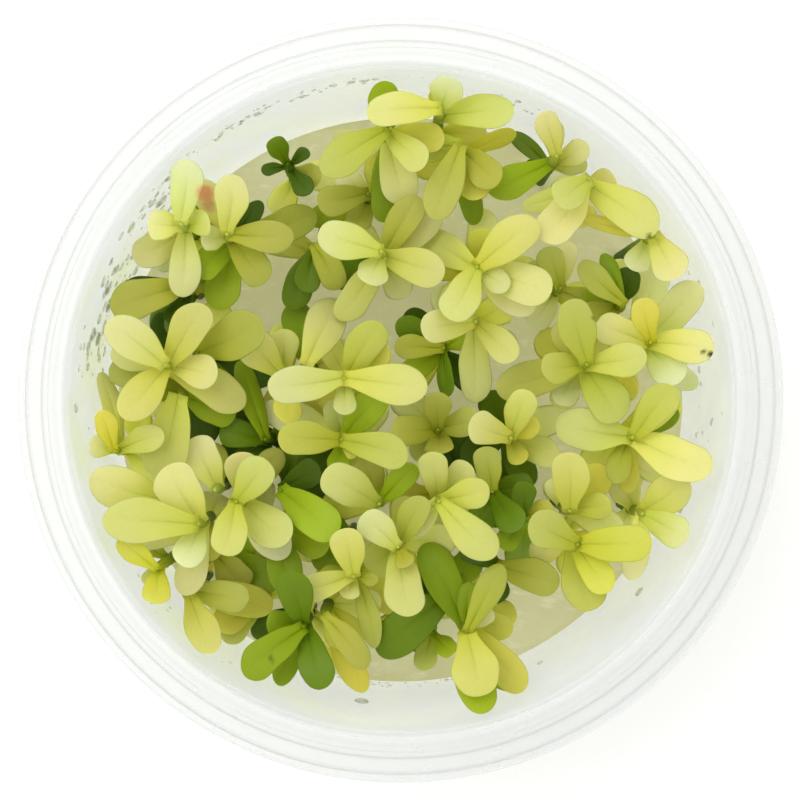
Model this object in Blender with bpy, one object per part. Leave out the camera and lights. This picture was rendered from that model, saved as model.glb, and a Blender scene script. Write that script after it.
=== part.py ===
"""Water hyssop shoots standing in set gel, in a clear culture cup with its lid off.

The cup and the gel are turned about the upright axis. Each shoot is one solid: a square stem with
its leaves grown out of its sides. The table of shoots gives what is seen from straight above: where
each crown is, and each leaf's bearing, reach and width. How high each leaf lies is worked out here,
from the top of the plants down, so that every leaf hangs clear of the leaves over it.
"""

import math
from collections import namedtuple

import bpy
import numpy as np
from mathutils import Vector

MM = 0.001

# The cup, in millimetres: radii from its axis, heights from the table it stands on
CUP_HEIGHT = 46.0
WALL_SLOPE = 0.105
WALL = 0.9
FLANGE_RADIUS = 50.0
LIP_RADIUS = 46.7
LIP_INNER_RADIUS = 43.9
WALL_TOP_RADIUS = 43.35
WALL_TOP = 45.4
LEDGE_RADIUS = 48.6
LEDGE_DROP = 0.9
SKIRT_TOP = 44.8
SKIRT_BOTTOM = 43.2
FLOOR_TOP = 1.9
FLOOR_FILLET = 1.4
FOOT_INNER_RADIUS = 34.5
FOOT_OUTER_RADIUS = 37.5
FOOT_DEPTH = 0.9
EDGE_ROUND = 0.35
SKIRT_ROUND = 0.7
CUP_SEGMENTS = 44
SHARP_ANGLE = 35

# The gel, and how deep a stem stands in it
GAP = 0.3
GEL_TOP = 16.0
GEL_EDGE_RISE = 0.6
GEL_FLAT_RADIUS = 37.6
GEL_CREEP = 1.2
SOCKET_DEPTH = 4.0
SOCKET_CUT_OVER = 1.0

# The shoots
EYE_HEIGHT = 346.0
STEM_RADIUS = 0.75
STEM_SPACING = 2.5
ROOT_SHARE = 0.97
ROOT_LIMIT = 37.0
ROOT_SLACK = 0.3
ROOT_ASIDES = (0, 1.2, 2.4, 3.6, 4.8, 6.2, 7.6)
ROOT_TURNS = range(0, 360, 30)
SHORTEST_STEM = 4.0
COURSE_OVER = 0.8
COURSE_STEPS = 44
COURSE_SKIP = 4
SPACING_TESTS = 12
CROWN_STEP = 0.6
NODE_STEP = 1.1
LOWEST_NODE = 1.0
TABLE_BANDS = range(12)
WIDEST = 0.62
FOOT_WIDTH = 0.42
SWELL_POWER = 1.0
TIP_POWER = 2.3
LEAF_PROPORTION = 2.25
FLAT_SHARE = 0.99
STEEP_SHARE = 0.55
LEAF_OVER = 0.2
LEAF_UNDER = 0.45
EDGE_OVER = 0.12
CLEAR = 0.35
TALLEST = 45.0
WALL_CLEAR = 0.5
GEL_CLEAR = 0.9
NEXT_SHARE = 0.01
RING_SHARES = ((0.4, 0.84), (0.55,), (0.6,))
STEM_TIP = 0.5

# The older leaves, lower on each stem: the first pair under the crown, and then one pair each step
FIRST_OLDER = 3
OLDER_STEP = 5
LAST_BAND = 40
OLDER_FLOOR = 2.5
OLDER_REACHES = (7.6, 6.8)
OLDER_WIDTHS = (4.4, 3.8)
OLDER_LIMIT = 37.0
OLDER_DEPTH = 9
BLADE_MIDDLE = 0.65

# Patches of the plan, west, east, south and north, where the gel lies open and no older leaf hangs
OPEN_PATCHES = ((16.6, 26.0, -31.8, -24.4), (-4.0, 7.6, -36.5, -33.6), (-23.5, -18.0, 27.0, 34.0),
                (23.0, 30.0, 18.8, 22.0))
PATCH_STEP = 0.3

# Dark hollows between the plants, as plan places and radii, where the older leaves are deep green
HOLLOWS = ((-24.5, -3.6, 5.0), (8.6, -6.6, 4.2), (7.3, 3.5, 2.6), (12.2, -0.7, 3.0), (-31.0, 9.0, 4.0),
           (14.8, -9.0, 3.6), (-12.5, -9.0, 5.5), (-22.5, 5.5, 4.0), (-19.5, -8.5, 3.6), (-6.5, 17.3, 2.6),
           (-18.0, -29.0, 3.5), (2.5, 10.8, 2.0))

# How far a leaf may be moved from what the table says, to lie clear of the others
TURNS = (0, 4, -4, 8, -8, 13, -13, 19, -19, 26, -26)
STRETCHES = (1.0, 0.93, 0.86, 0.76, 0.64)
LIFTS = np.array((12, 4, 20, -4, -12, -20, 28, -28, -36, -44, -52, -60))
BENDS = np.array((32, 14, 50))
STEEPEST = 66
LOWEST = -60
STEEPEST_FALL = -75

# What each of those moves costs, and the cost at which a leaf is given up
BAND_COST = 0.66
TURN_COST = 0.15
STRETCH_COST = 14
LIFT_COST = 0.05
BEND_COST = 0.02
DEAREST = 30.0
RULED_OUT = 99.0

# How near a leaf may come to another stem and to its own, and how far off stems are looked for
STEM_ASIDE = 1.5
STEM_ALONG = 1.0
STEM_FACE_CLEAR = 0.15
FREE_SHARE = 0.3
NEIGHBOUR = 9.0
SHORTEST = 0.6

# Colours: the leaves from the sunlit crowns down to the shade, and then the cup and the gel
IVORY = (0.95, 0.92, 0.60)
CREAM = (0.90, 0.85, 0.34)
PALE = (0.82, 0.79, 0.23)
YELLOW = (0.86, 0.79, 0.12)
GOLD = (0.67, 0.67, 0.13)
OLIVE = (0.51, 0.53, 0.08)
LIME = (0.41, 0.54, 0.02)
GREEN = (0.26, 0.39, 0.012)
MOSS = (0.14, 0.25, 0.008)
DARK = (0.065, 0.135, 0.006)
OLDER_TONES = ((0.78, 0.84, 0.26), (0.66, 0.76, 0.16), (0.84, 0.88, 0.36), (0.58, 0.66, 0.12))
SHADE_TONES = (DARK, MOSS)
CLEAR_PLASTIC = (0.93, 0.95, 0.93)
SET_GEL = (0.75, 0.73, 0.6)

Leaf = namedtuple("Leaf", "bearing reach width tone depth roll")


def leaf(bearing, reach, width, tone, depth=0, roll=0):
    """One leaf as seen from above. Depth counts the layers over it, and roll turns it on edge."""
    return Leaf(bearing, reach, width, tone, depth, roll)


# Name, crown across and up, crown height, layers over it, and its leaves
SHOOTS = (
    ("nw_1", -28.6, 22.9, 40.5, 0, (
        leaf(88, 8.4, 4.4, IVORY), leaf(180, 4.2, 4.2, IVORY), leaf(4, 3.9, 3.6, PALE),
        leaf(272, 9.6, 4.3, CREAM), leaf(215, 7.7, 4.6, CREAM, 1), leaf(245, 6.8, 2.8, IVORY, 1),
        leaf(60, 1.8, 1.2, YELLOW))),
    ("nw_2", -22.6, 21.6, 40.0, 0, (
        leaf(84, 7.7, 4.5, CREAM), leaf(192, 3.4, 3.4, CREAM), leaf(-3, 8.8, 4.2, OLIVE),
        leaf(-53, 8.2, 4.4, OLIVE), leaf(118, 7.7, 3.8, CREAM, 1), leaf(206, 6.8, 4.2, LIME, 1),
        leaf(263, 10.0, 4.6, LIME, 1), leaf(42, 6.2, 2.5, DARK, 1), leaf(12, 12.0, 4.6, OLIVE, 2),
        leaf(-16, 12.2, 5.0, OLIVE, 2), leaf(107, 8.1, 3.0, GREEN, 2))),
    ("nw_3", -14.7, 30.7, 37.0, 1, (
        leaf(121, 3.8, 2.9, MOSS), leaf(196, 3.5, 1.7, DARK), leaf(32, 3.3, 1.8, DARK),
        leaf(-53, 5.0, 2.8, DARK), leaf(-25, 4.8, 3.4, OLIVE, 1))),
    ("nw_4", -4.2, 26.8, 34.0, 2, (
        leaf(186, 7.2, 4.2, OLIVE), leaf(146, 4.6, 3.2, IVORY), leaf(250, 4.8, 3.6, OLIVE, 1),
        leaf(205, 8.6, 3.4, LIME, 1))),
    ("nw_5", -11.3, 20.2, 34.0, 2, (
        leaf(-58, 6.8, 3.6, OLIVE), leaf(262, 6.4, 3.6, MOSS, 1), leaf(40, 4.6, 3.2, DARK, 1),
        leaf(-110, 9.0, 4.0, MOSS, 1))),
    ("nw_6", -28.3, 14.8, 36.0, 1, (
        leaf(198, 9.8, 5.2, GOLD), leaf(176, 8.2, 4.2, DARK, 1), leaf(20, 6.5, 4.4, OLIVE, 1),
        leaf(255, 5.4, 3.4, DARK, 1))),
    ("north_2", 5.2, 38.0, 42.0, 0, (
        leaf(184, 9.6, 4.5, CREAM), leaf(62, 4.4, 4.4, IVORY), leaf(-2, 9.6, 4.5, PALE),
        leaf(104, 2.4, 2.2, YELLOW))),
    ("north_1", -1.8, 35.2, 41.0, 0, (
        leaf(214, 10.2, 4.8, GOLD), leaf(-46, 7.0, 4.1, PALE), leaf(2, 12.0, 4.2, YELLOW, 1),
        leaf(-75, 10.2, 4.9, CREAM, 1), leaf(268, 12.2, 3.9, GREEN, 1), leaf(93, 6.2, 4.2, LIME, 1),
        leaf(187, 7.0, 2.4, CREAM, 1))),
    ("north_3", 7.8, 33.2, 38.5, 0, (
        leaf(251, 10.4, 4.7, GOLD), leaf(-48, 7.2, 4.3, OLIVE), leaf(-70, 7.6, 4.4, YELLOW, 1),
        leaf(-80, 10.7, 3.1, GREEN, 1), leaf(12, 7.4, 2.4, YELLOW, 1, 40), leaf(180, 6.5, 4.4, GOLD, 1))),
    ("mid_1", -2.5, 19.3, 41.0, 0, (
        leaf(164, 8.5, 5.0, CREAM), leaf(248, 4.6, 4.2, CREAM), leaf(-21, 8.8, 4.9, PALE),
        leaf(56, 8.6, 4.2, GOLD), leaf(33, 9.2, 4.4, CREAM, 1), leaf(238, 10.5, 4.2, PALE, 1))),
    ("mid_2", 10.0, 17.3, 41.0, 0, (
        leaf(37, 9.8, 5.2, PALE), leaf(229, 7.8, 5.0, PALE), leaf(-35, 5.0, 3.2, CREAM),
        leaf(-18, 10.2, 5.6, CREAM, 1), leaf(152, 8.4, 4.4, PALE, 1), leaf(-38, 9.4, 4.6, IVORY, 2),
        leaf(84, 5.0, 4.2, YELLOW, 2))),
    ("ne_1", 24.6, 28.8, 41.0, 0, (
        leaf(216, 5.4, 4.5, PALE), leaf(233, 10.2, 5.2, CREAM), leaf(-39, 11.2, 5.4, PALE),
        leaf(10, 5.6, 4.2, CREAM), leaf(204, 9.6, 2.8, PALE, 1))),
    ("ne_2", 20.4, 31.8, 39.5, 0, (
        leaf(212, 10.2, 4.2, LIME, 1), leaf(106, 5.9, 3.4, CREAM), leaf(78, 4.8, 3.0, CREAM),
        leaf(36, 5.6, 3.2, IVORY), leaf(-10, 4.8, 2.4, CREAM, 1), leaf(142, 6.6, 2.4, MOSS, 1, 30),
        leaf(194, 4.6, 2.4, DARK, 2))),
    ("ne_3", 33.0, 21.5, 37.0, 1, (
        leaf(-61, 6.5, 4.8, CREAM), leaf(167, 9.6, 2.0, YELLOW, 1), leaf(-120, 5.5, 3.4, IVORY, 1))),
    ("ne_4", 20.9, 14.6, 34.0, 2, (
        leaf(112, 5.6, 3.6, GOLD), leaf(80, 6.0, 3.0, IVORY), leaf(150, 5.4, 3.4, GOLD, 1),
        leaf(-30, 5.5, 3.6, GOLD, 1), leaf(235, 6.5, 3.6, IVORY, 1))),
    ("ne_5", 29.2, 12.4, 36.0, 1, (
        leaf(137, 8.0, 3.4, OLIVE), leaf(114, 7.2, 2.2, GREEN, 1), leaf(82, 4.8, 3.6, DARK, 1),
        leaf(200, 6.5, 4.0, OLIVE, 1), leaf(160, 5.6, 3.6, LIME, 1))),
    ("west_1", -30.6, 4.5, 41.0, 0, (
        leaf(143, 9.3, 5.2, CREAM), leaf(56, 9.4, 5.0, PALE), leaf(231, 8.8, 5.0, PALE),
        leaf(-12, 7.0, 4.4, CREAM), leaf(167, 7.2, 4.0, CREAM, 1), leaf(-27, 11.7, 5.0, PALE, 1),
        leaf(130, 2.2, 1.8, CREAM), leaf(190, 7.4, 4.4, GOLD, 2))),
    ("west_2", -37.3, -6.7, 38.5, 1, (
        leaf(106, 5.5, 3.0, YELLOW), leaf(158, 3.8, 3.0, IVORY), leaf(20, 7.0, 3.6, PALE),
        leaf(99, 10.4, 2.6, CREAM, 1, 45))),
    ("west_3", -26.5, 6.0, 37.0, 1, (
        leaf(33, 10.2, 6.0, OLIVE), leaf(120, 6.5, 4.2, MOSS, 1), leaf(-60, 6.0, 4.0, MOSS, 1))),
    ("west_4", -28.9, 0.6, 37.0, 1, (
        leaf(256, 10.9, 6.0, PALE), leaf(165, 7.5, 4.2, OLIVE, 1), leaf(-22, 8.0, 4.4, LIME, 1))),
    ("west_5", -30.2, -13.2, 37.5, 1, (
        leaf(159, 10.6, 5.4, CREAM), leaf(75, 6.0, 3.8, OLIVE, 1))),
    ("west_6", -17.6, -5.2, 33.0, 2, (
        leaf(108, 10.8, 3.2, GREEN, 0, 40), leaf(170, 6.0, 4.0, MOSS), leaf(255, 5.0, 3.6, DARK, 1),
        leaf(30, 4.6, 3.4, GREEN, 1))),
    ("west_7", -15.4, 3.2, 35.0, 1, (
        leaf(136, 6.8, 4.8, PALE), leaf(262, 6.5, 3.6, YELLOW, 1), leaf(60, 6.0, 3.8, PALE, 1))),
    ("sw_1", -26.3, -16.2, 41.0, 0, (
        leaf(178, 12.4, 5.8, PALE), leaf(118, 8.6, 6.0, CREAM), leaf(251, 5.8, 4.2, IVORY),
        leaf(255, 9.4, 4.1, CREAM, 1), leaf(201, 9.0, 4.6, CREAM, 1), leaf(-75, 5.0, 3.6, YELLOW, 2))),
    ("sw_2", -21.4, -13.3, 40.5, 0, (
        leaf(55, 6.8, 4.9, PALE), leaf(35, 2.7, 2.3, YELLOW), leaf(260, 7.1, 4.8, PALE),
        leaf(-37, 8.6, 5.2, PALE), leaf(80, 6.6, 4.6, CREAM, 1), leaf(-48, 9.8, 4.8, IVORY, 1),
        leaf(49, 9.0, 3.6, OLIVE, 1))),
    ("sw_3", -24.2, -11.8, 38.0, 1, (
        leaf(111, 7.4, 5.0, IVORY), leaf(92, 6.2, 3.6, GOLD, 1))),
    ("sw_4", -31.8, -22.0, 41.5, 0, (
        leaf(155, 6.2, 3.2, YELLOW), leaf(270, 4.5, 3.8, YELLOW), leaf(118, 5.0, 2.6, GOLD, 1),
        leaf(225, 2.6, 1.6, CREAM, 0, 30))),
    ("sw_5", -27.6, -25.2, 38.0, 1, (
        leaf(-67, 8.4, 4.4, PALE), leaf(-5, 8.0, 4.2, GOLD), leaf(-9, 11.2, 4.6, YELLOW, 1),
        leaf(262, 5.0, 2.0, GOLD, 1))),
    ("sw_6", -24.2, -20.2, 32.0, 2, (
        leaf(-46, 6.0, 4.6, OLIVE), leaf(-33, 9.4, 4.8, GREEN, 1), leaf(225, 5.0, 3.4, OLIVE, 1),
        leaf(20, 6.0, 3.8, LIME, 1))),
    ("sw_7", -16.2, -16.4, 32.0, 2, (
        leaf(-80, 9.0, 4.4, GREEN), leaf(-25, 7.5, 4.4, LIME, 1))),
    ("sw_8", -18.6, -27.0, 31.0, 2, (
        leaf(202, 6.0, 3.8, YELLOW), leaf(226, 6.6, 3.6, PALE, 1), leaf(100, 5.0, 3.2, DARK, 1))),
    ("south_1", -12.6, -29.6, 39.0, 0, (
        leaf(219, 9.9, 4.7, GREEN), leaf(107, 7.6, 4.6, MOSS), leaf(-73, 8.4, 4.5, MOSS),
        leaf(40, 7.6, 4.6, OLIVE, 1), leaf(172, 4.8, 3.6, GREEN, 1), leaf(247, 8.2, 3.4, GREEN, 1))),
    ("south_2", -9.9, -28.0, 39.5, 0, (
        leaf(-51, 8.8, 3.6, OLIVE), leaf(-62, 11.3, 3.7, YELLOW, 1), leaf(-66, 4.6, 2.6, YELLOW, 0, 30),
        leaf(-30, 6.2, 3.0, YELLOW, 2))),
    ("south_3", -6.1, -23.0, 40.5, 0, (
        leaf(100, 6.4, 4.6, PALE), leaf(214, 8.2, 3.8, PALE), leaf(-8, 3.3, 1.9, OLIVE),
        leaf(253, 3.0, 2.7, CREAM), leaf(-73, 9.7, 2.8, GOLD, 1), leaf(224, 7.4, 4.4, OLIVE, 1))),
    ("south_4", -0.3, -19.2, 40.5, 0, (
        leaf(138, 6.3, 4.4, CREAM), leaf(-64, 2.8, 2.6, OLIVE), leaf(-88, 9.1, 5.2, PALE),
        leaf(62, 7.4, 3.9, GOLD), leaf(216, 7.6, 5.0, GOLD, 1))),
    ("south_5", 5.0, -13.3, 40.5, 0, (
        leaf(-48, 10.2, 4.8, PALE), leaf(15, 6.8, 4.1, PALE), leaf(100, 6.6, 4.0, PALE),
        leaf(50, 6.4, 4.0, CREAM, 1), leaf(225, 6.5, 4.0, CREAM, 2))),
    ("south_6", -2.8, -13.6, 38.0, 1, (
        leaf(147, 8.3, 5.3, PALE), leaf(46, 7.0, 3.4, LIME), leaf(108, 6.4, 3.8, OLIVE, 1))),
    ("south_7", -15.6, -11.8, 37.0, 1, (
        leaf(-43, 9.4, 5.4, LIME), leaf(60, 6.0, 3.8, DARK, 1), leaf(215, 5.5, 3.6, DARK, 1))),
    ("south_8", 6.6, -25.2, 33.0, 2, (
        leaf(220, 12.3, 5.6, MOSS), leaf(60, 6.5, 4.0, GREEN, 1), leaf(-60, 5.0, 3.6, DARK, 1),
        leaf(160, 5.6, 4.0, DARK, 1))),
    ("south_9", 4.2, -30.4, 29.0, 2, (
        leaf(-46, 3.8, 2.8, LIME), leaf(252, 5.0, 3.0, GOLD), leaf(222, 3.4, 2.4, MOSS, 1))),
    ("south_10", 8.7, -30.2, 40.5, 0, (
        leaf(63, 9.9, 3.6, OLIVE), leaf(44, 4.4, 2.8, CREAM, 0, 30), leaf(-70, 8.5, 6.2, PALE),
        leaf(-79, 10.8, 5.2, LIME, 1), leaf(-46, 12.3, 4.5, YELLOW, 1), leaf(-53, 12.9, 4.2, LIME, 2),
        leaf(4, 6.0, 3.6, YELLOW, 2), leaf(83, 6.5, 2.8, GREEN, 1), leaf(116, 12.8, 4.9, GREEN, 1))),
    ("south_11", 12.6, -21.6, 31.0, 2, (
        leaf(-17, 8.4, 4.6, OLIVE), leaf(150, 5.5, 3.8, DARK), leaf(-95, 5.0, 3.6, DARK, 1))),
    ("south_12", -6.5, -18.0, 33.0, 2, (
        leaf(-58, 7.5, 5.0, OLIVE), leaf(150, 5.0, 3.8, MOSS, 1), leaf(-120, 6.0, 4.0, GREEN, 1))),
    ("centre_1", -7.3, 2.8, 41.5, 0, (
        leaf(-7, 10.9, 5.2, PALE), leaf(187, 10.0, 4.9, CREAM), leaf(272, 4.8, 3.0, PALE),
        leaf(57, 8.6, 4.8, GOLD, 1))),
    ("centre_2", -12.3, 4.5, 38.0, 1, (
        leaf(64, 9.5, 5.2, CREAM), leaf(170, 4.8, 3.8, YELLOW), leaf(-60, 5.5, 3.6, GOLD, 1),
        leaf(100, 8.4, 4.2, GREEN, 2))),
    ("centre_3", -7.7, -5.2, 39.5, 0, (
        leaf(178, 8.2, 4.6, GOLD), leaf(-16, 9.0, 4.5, GOLD), leaf(-50, 3.0, 1.8, YELLOW),
        leaf(48, 8.6, 4.4, LIME, 1), leaf(99, 5.4, 3.8, PALE, 1), leaf(170, 11.0, 4.4, IVORY, 2),
        leaf(262, 4.6, 3.0, LIME, 1))),
    ("centre_4", 4.9, -3.9, 34.5, 2, (
        leaf(93, 4.9, 3.7, OLIVE), leaf(180, 6.0, 4.3, GOLD), leaf(14, 5.6, 3.9, GOLD),
        leaf(278, 3.2, 3.8, YELLOW), leaf(235, 5.0, 3.4, GOLD, 1))),
    ("centre_5", 9.8, 10.2, 39.0, 0, (
        leaf(187, 7.2, 4.5, CREAM), leaf(-47, 7.2, 4.0, PALE), leaf(270, 10.6, 4.3, CREAM, 1),
        leaf(-42, 2.4, 1.8, CREAM))),
    ("centre_6", 5.6, 6.7, 34.0, 2, (
        leaf(178, 6.4, 3.2, OLIVE), leaf(-86, 6.4, 2.2, MOSS, 0, 50), leaf(30, 4.5, 3.0, LIME, 1),
        leaf(150, 7.0, 3.6, MOSS, 1), leaf(215, 5.6, 3.6, LIME, 1))),
    ("centre_7", 14.4, -5.0, 39.0, 0, (
        leaf(159, 5.8, 4.3, CREAM), leaf(71, 6.6, 4.0, PALE), leaf(26, 4.2, 3.2, YELLOW),
        leaf(-65, 3.6, 2.7, YELLOW), leaf(-24, 6.8, 3.9, PALE, 1))),
    ("centre_8", 12.0, -12.0, 34.0, 2, (
        leaf(88, 6.0, 3.8, GOLD), leaf(-55, 6.0, 4.0, MOSS), leaf(-110, 6.0, 3.8, MOSS, 1),
        leaf(10, 5.4, 3.8, MOSS, 1))),
    ("east_1", 24.3, 4.6, 41.0, 0, (
        leaf(104, 8.7, 5.0, GOLD), leaf(184, 6.0, 4.2, GOLD), leaf(8, 7.8, 4.4, PALE),
        leaf(-59, 8.4, 5.5, GOLD), leaf(-35, 2.4, 2.4, YELLOW), leaf(192, 12.3, 4.9, GOLD, 1),
        leaf(236, 6.4, 3.8, CREAM, 1), leaf(128, 6.8, 4.0, PALE, 2))),
    ("east_2", 32.6, 7.5, 40.5, 0, (
        leaf(101, 5.8, 3.7, YELLOW), leaf(163, 7.6, 4.4, CREAM), leaf(-7, 8.2, 4.6, CREAM),
        leaf(-52, 6.4, 4.8, IVORY, 1), leaf(50, 9.8, 4.7, CREAM, 1), leaf(62, 5.4, 2.4, YELLOW, 2),
        leaf(-41, 8.4, 3.4, IVORY, 2), leaf(97, 10.7, 4.4, IVORY, 2))),
    ("east_3", 30.3, -4.9, 41.0, 0, (
        leaf(170, 10.3, 5.4, PALE), leaf(70, 8.4, 4.5, GOLD), leaf(48, 8.5, 4.5, CREAM, 1),
        leaf(-23, 11.0, 5.6, CREAM), leaf(248, 6.5, 3.2, OLIVE), leaf(266, 7.3, 2.9, YELLOW),
        leaf(-52, 5.2, 3.8, CREAM, 1), leaf(30, 6.8, 3.0, GREEN, 2))),
    ("east_4", 22.1, -14.5, 38.5, 0, (
        leaf(92, 8.9, 5.1, PALE), leaf(7, 5.4, 3.4, GOLD), leaf(50, 7.4, 4.4, YELLOW, 1))),
    ("se_1", 23.1, -18.9, 40.5, 0, (
        leaf(132, 7.1, 5.0, GOLD), leaf(10, 9.6, 5.1, YELLOW), leaf(-56, 7.3, 4.1, YELLOW),
        leaf(-79, 8.7, 5.6, GOLD, 1), leaf(193, 6.4, 3.6, CREAM, 2))),
    ("se_2", 31.6, -14.9, 38.5, 1, (
        leaf(-30, 6.5, 4.4, CREAM), leaf(43, 7.4, 5.1, PALE), leaf(122, 6.4, 4.6, CREAM),
        leaf(-97, 8.7, 3.6, IVORY, 1))),
    ("se_3", 16.1, -15.6, 34.0, 2, (
        leaf(232, 4.8, 3.2, GREEN), leaf(-102, 8.0, 4.6, GREEN), leaf(95, 5.0, 3.2, MOSS),
        leaf(25, 4.4, 2.8, YELLOW), leaf(160, 5.4, 3.4, MOSS, 1))),
)


def spread(height):
    """How much wider a place lies than it looks from the eye, against the height of the rim."""
    return (EYE_HEIGHT - height) / (EYE_HEIGHT - CUP_HEIGHT)


def wall_radius(height):
    """Radius of the wall's inner face at a height."""
    return WALL_TOP_RADIUS - WALL_SLOPE * (WALL_TOP - height)


def half_width(share, width):
    """Half a leaf's width along its length: a narrow foot, widest past the middle, a round tip."""
    rise = np.clip(share / WIDEST, 0, 1)
    fall = np.clip((share - WIDEST) / (1 - WIDEST), 0, 1)
    swell = FOOT_WIDTH + (1 - FOOT_WIDTH) * np.sin(0.5 * math.pi * rise) ** SWELL_POWER
    return 0.5 * width * swell * np.sqrt(np.clip(1 - fall ** TIP_POWER, 0, 1))


class Ceiling:
    """The lowest underside so far over each small square of the plan."""

    CELL = 0.35
    REACH = 46.0

    def __init__(self):
        self.count = int(2 * self.REACH / self.CELL)
        self.under = np.full((self.count, self.count), CUP_HEIGHT)

    def square(self, across, up):
        """The squares that some places of the plan fall in."""
        column = np.clip(((across + self.REACH) / self.CELL).astype(int), 1, self.count - 2)
        row = np.clip(((up + self.REACH) / self.CELL).astype(int), 1, self.count - 2)
        return column, row

    def over(self, across, up):
        return self.under[self.square(across, up)]

    def lower(self, across, up, height):
        """Bring the ceiling down to some heights, with one square more on every side."""
        column, row = self.square(across, up)
        for aside in (-1, 0, 1):
            for along in (-1, 0, 1):
                np.minimum.at(self.under, (column + aside, row + along), height)


class Shoot:
    """A stem from its crown down into the gel, and the leaves that found a place on it."""

    def __init__(self, name, across, up, height, leaves, ceiling, shoots):
        self.name = name
        over = float(ceiling.over(np.array(across), np.array(up)))
        self.height = min(height, over - LEAF_UNDER - 2 * CLEAR)
        self.crown = np.array((across, up))
        self.turn = leaves[0].bearing
        self.leaves = []
        self.used = set()
        self.find_root(ceiling, shoots)

    def centre(self, height):
        """Where the stem's middle lies at a height, in millimetres."""
        top = self.crown * spread(self.height)
        share = (self.height - height) / (self.height - GEL_TOP)
        return top + (self.root - top) * min(share, 1)

    def plan(self, height):
        return self.centre(height) / spread(height)

    def course(self):
        """Points down the middle of the stem, as plan places and heights."""
        heights = np.linspace(self.height + COURSE_OVER, GEL_TOP, COURSE_STEPS)
        return np.array([(*self.plan(height), height) for height in heights])

    def find_root(self, ceiling, shoots):
        """Set the root under the crown, or beside that place where another stem or leaf is."""
        while self.height > GEL_TOP + SHORTEST_STEM:
            under = self.crown * spread(self.height) * ROOT_SHARE
            under *= min(1, ROOT_LIMIT / np.hypot(*under))
            for aside in ROOT_ASIDES:
                for angle in np.radians(ROOT_TURNS):
                    self.root = under + aside * np.array((math.cos(angle), math.sin(angle)))
                    if self.stands_clear(ceiling, shoots):
                        return
            self.height -= CROWN_STEP
        raise ValueError("no room for the stem of " + self.name)

    def stands_clear(self, ceiling, shoots):
        if np.hypot(*self.root) > ROOT_LIMIT + ROOT_SLACK:
            return False
        course = self.course()[COURSE_SKIP:]
        over = ceiling.over(course[:, 0], course[:, 1])
        if np.any(course[:, 2] + CLEAR > over):
            return False
        for other in shoots:
            heights = np.linspace(GEL_TOP, min(self.height, other.height), SPACING_TESTS)
            apart = [np.hypot(*(self.centre(height) - other.centre(height))) for height in heights]
            if min(apart) < STEM_SPACING:
                return False
        return True

    def has_room(self, band, side):
        """A band holds one leaf, or two that stand opposite each other."""
        taken = [other for at, other in self.used if at == band]
        return not taken or taken == [(side + 2) % 4]

    def side(self, bearing):
        """Which of the stem's four sides faces a bearing."""
        return round((bearing - self.turn) / 90) % 4

    def in_front(self, side, x, y, heights):
        """How far some places of the plan, at some heights, stand out from one side of the stem."""
        angle = math.radians(self.turn + 90 * side)
        out = np.array((math.cos(angle), math.sin(angle), 0))
        top = np.array((*self.centre(self.height), self.height))
        axis = top - np.array((*self.root, GEL_TOP))
        normal = np.cross((-out[1], out[0], 0), axis)
        normal /= np.linalg.norm(normal)
        face = top + STEM_RADIUS * math.cos(math.pi / 4) * out
        wide = spread(heights)
        return (x * wide - face[0]) * normal[0] + (y * wide - face[1]) * normal[1] \
            + (heights - face[2]) * normal[2]


Placed = namedtuple("Placed", "foot tip rise fall height width roll band side tone depth")


def leaf_points(placed, shares, across):
    """Plan places and heights of points on a leaf, by share of its length and of its half width."""
    along = placed.tip - placed.foot
    reach = np.hypot(*along)
    beside = np.array((-along[1], along[0])) / reach
    shares = shares[:, None]
    half = half_width(shares, placed.width) * across[None, :]
    roll = math.radians(placed.roll)
    flat = half * math.cos(roll)
    x = placed.foot[0] + along[0] * shares + beside[0] * flat
    y = placed.foot[1] + along[1] * shares + beside[1] * flat
    start = math.tan(math.radians(placed.rise))
    end = math.tan(math.radians(placed.fall))
    arch = reach * (start * shares + 0.5 * (end - start) * shares ** 2)
    return x, y, placed.height + arch + half * math.sin(roll)


def true_width(row):
    """How wide a leaf is across its blade, from how wide it looks when it is rolled."""
    return row.width / math.cos(math.radians(row.roll))


def natural_lift(row):
    """How steeply a leaf stands, from how short it looks for its width."""
    share = row.reach / (LEAF_PROPORTION * true_width(row))
    return math.degrees(math.acos(min(FLAT_SHARE, max(STEEP_SHARE, share))))


TEST_SHARES = np.linspace(0, 1, 15)
TEST_ACROSS = np.linspace(-1, 1, 5)
COVER_SHARES = np.linspace(0, 1, 40)
COVER_ACROSS = np.linspace(-1, 1, 11)


def blocked_by_stems(x, y, heights, shoot, shoots):
    """Which of the tried profiles pass too close to another shoot's stem."""
    blocked = np.zeros(len(heights), bool)
    flat = heights.reshape(len(heights), -1)
    for other in shoots:
        if other is shoot:
            continue
        course = other.path
        away = np.hypot(x.ravel()[:, None] - course[:, 0], y.ravel()[:, None] - course[:, 1])
        near = away < STEM_ASIDE
        points, steps = np.nonzero(near)
        if len(points):
            blocked |= (np.abs(flat[:, points] - course[steps, 2]) < STEM_ALONG).any(axis=1)
    return blocked


def moves(bands):
    """Where a leaf is tried: band, turn and stretch, the cheapest first."""
    found = []
    for step, band in enumerate(bands):
        for turn in TURNS:
            for stretch in STRETCHES:
                cost = BAND_COST * step + TURN_COST * abs(turn) + STRETCH_COST * (1 - stretch)
                found.append((cost, band, turn, stretch))
    return sorted(found)


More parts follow.
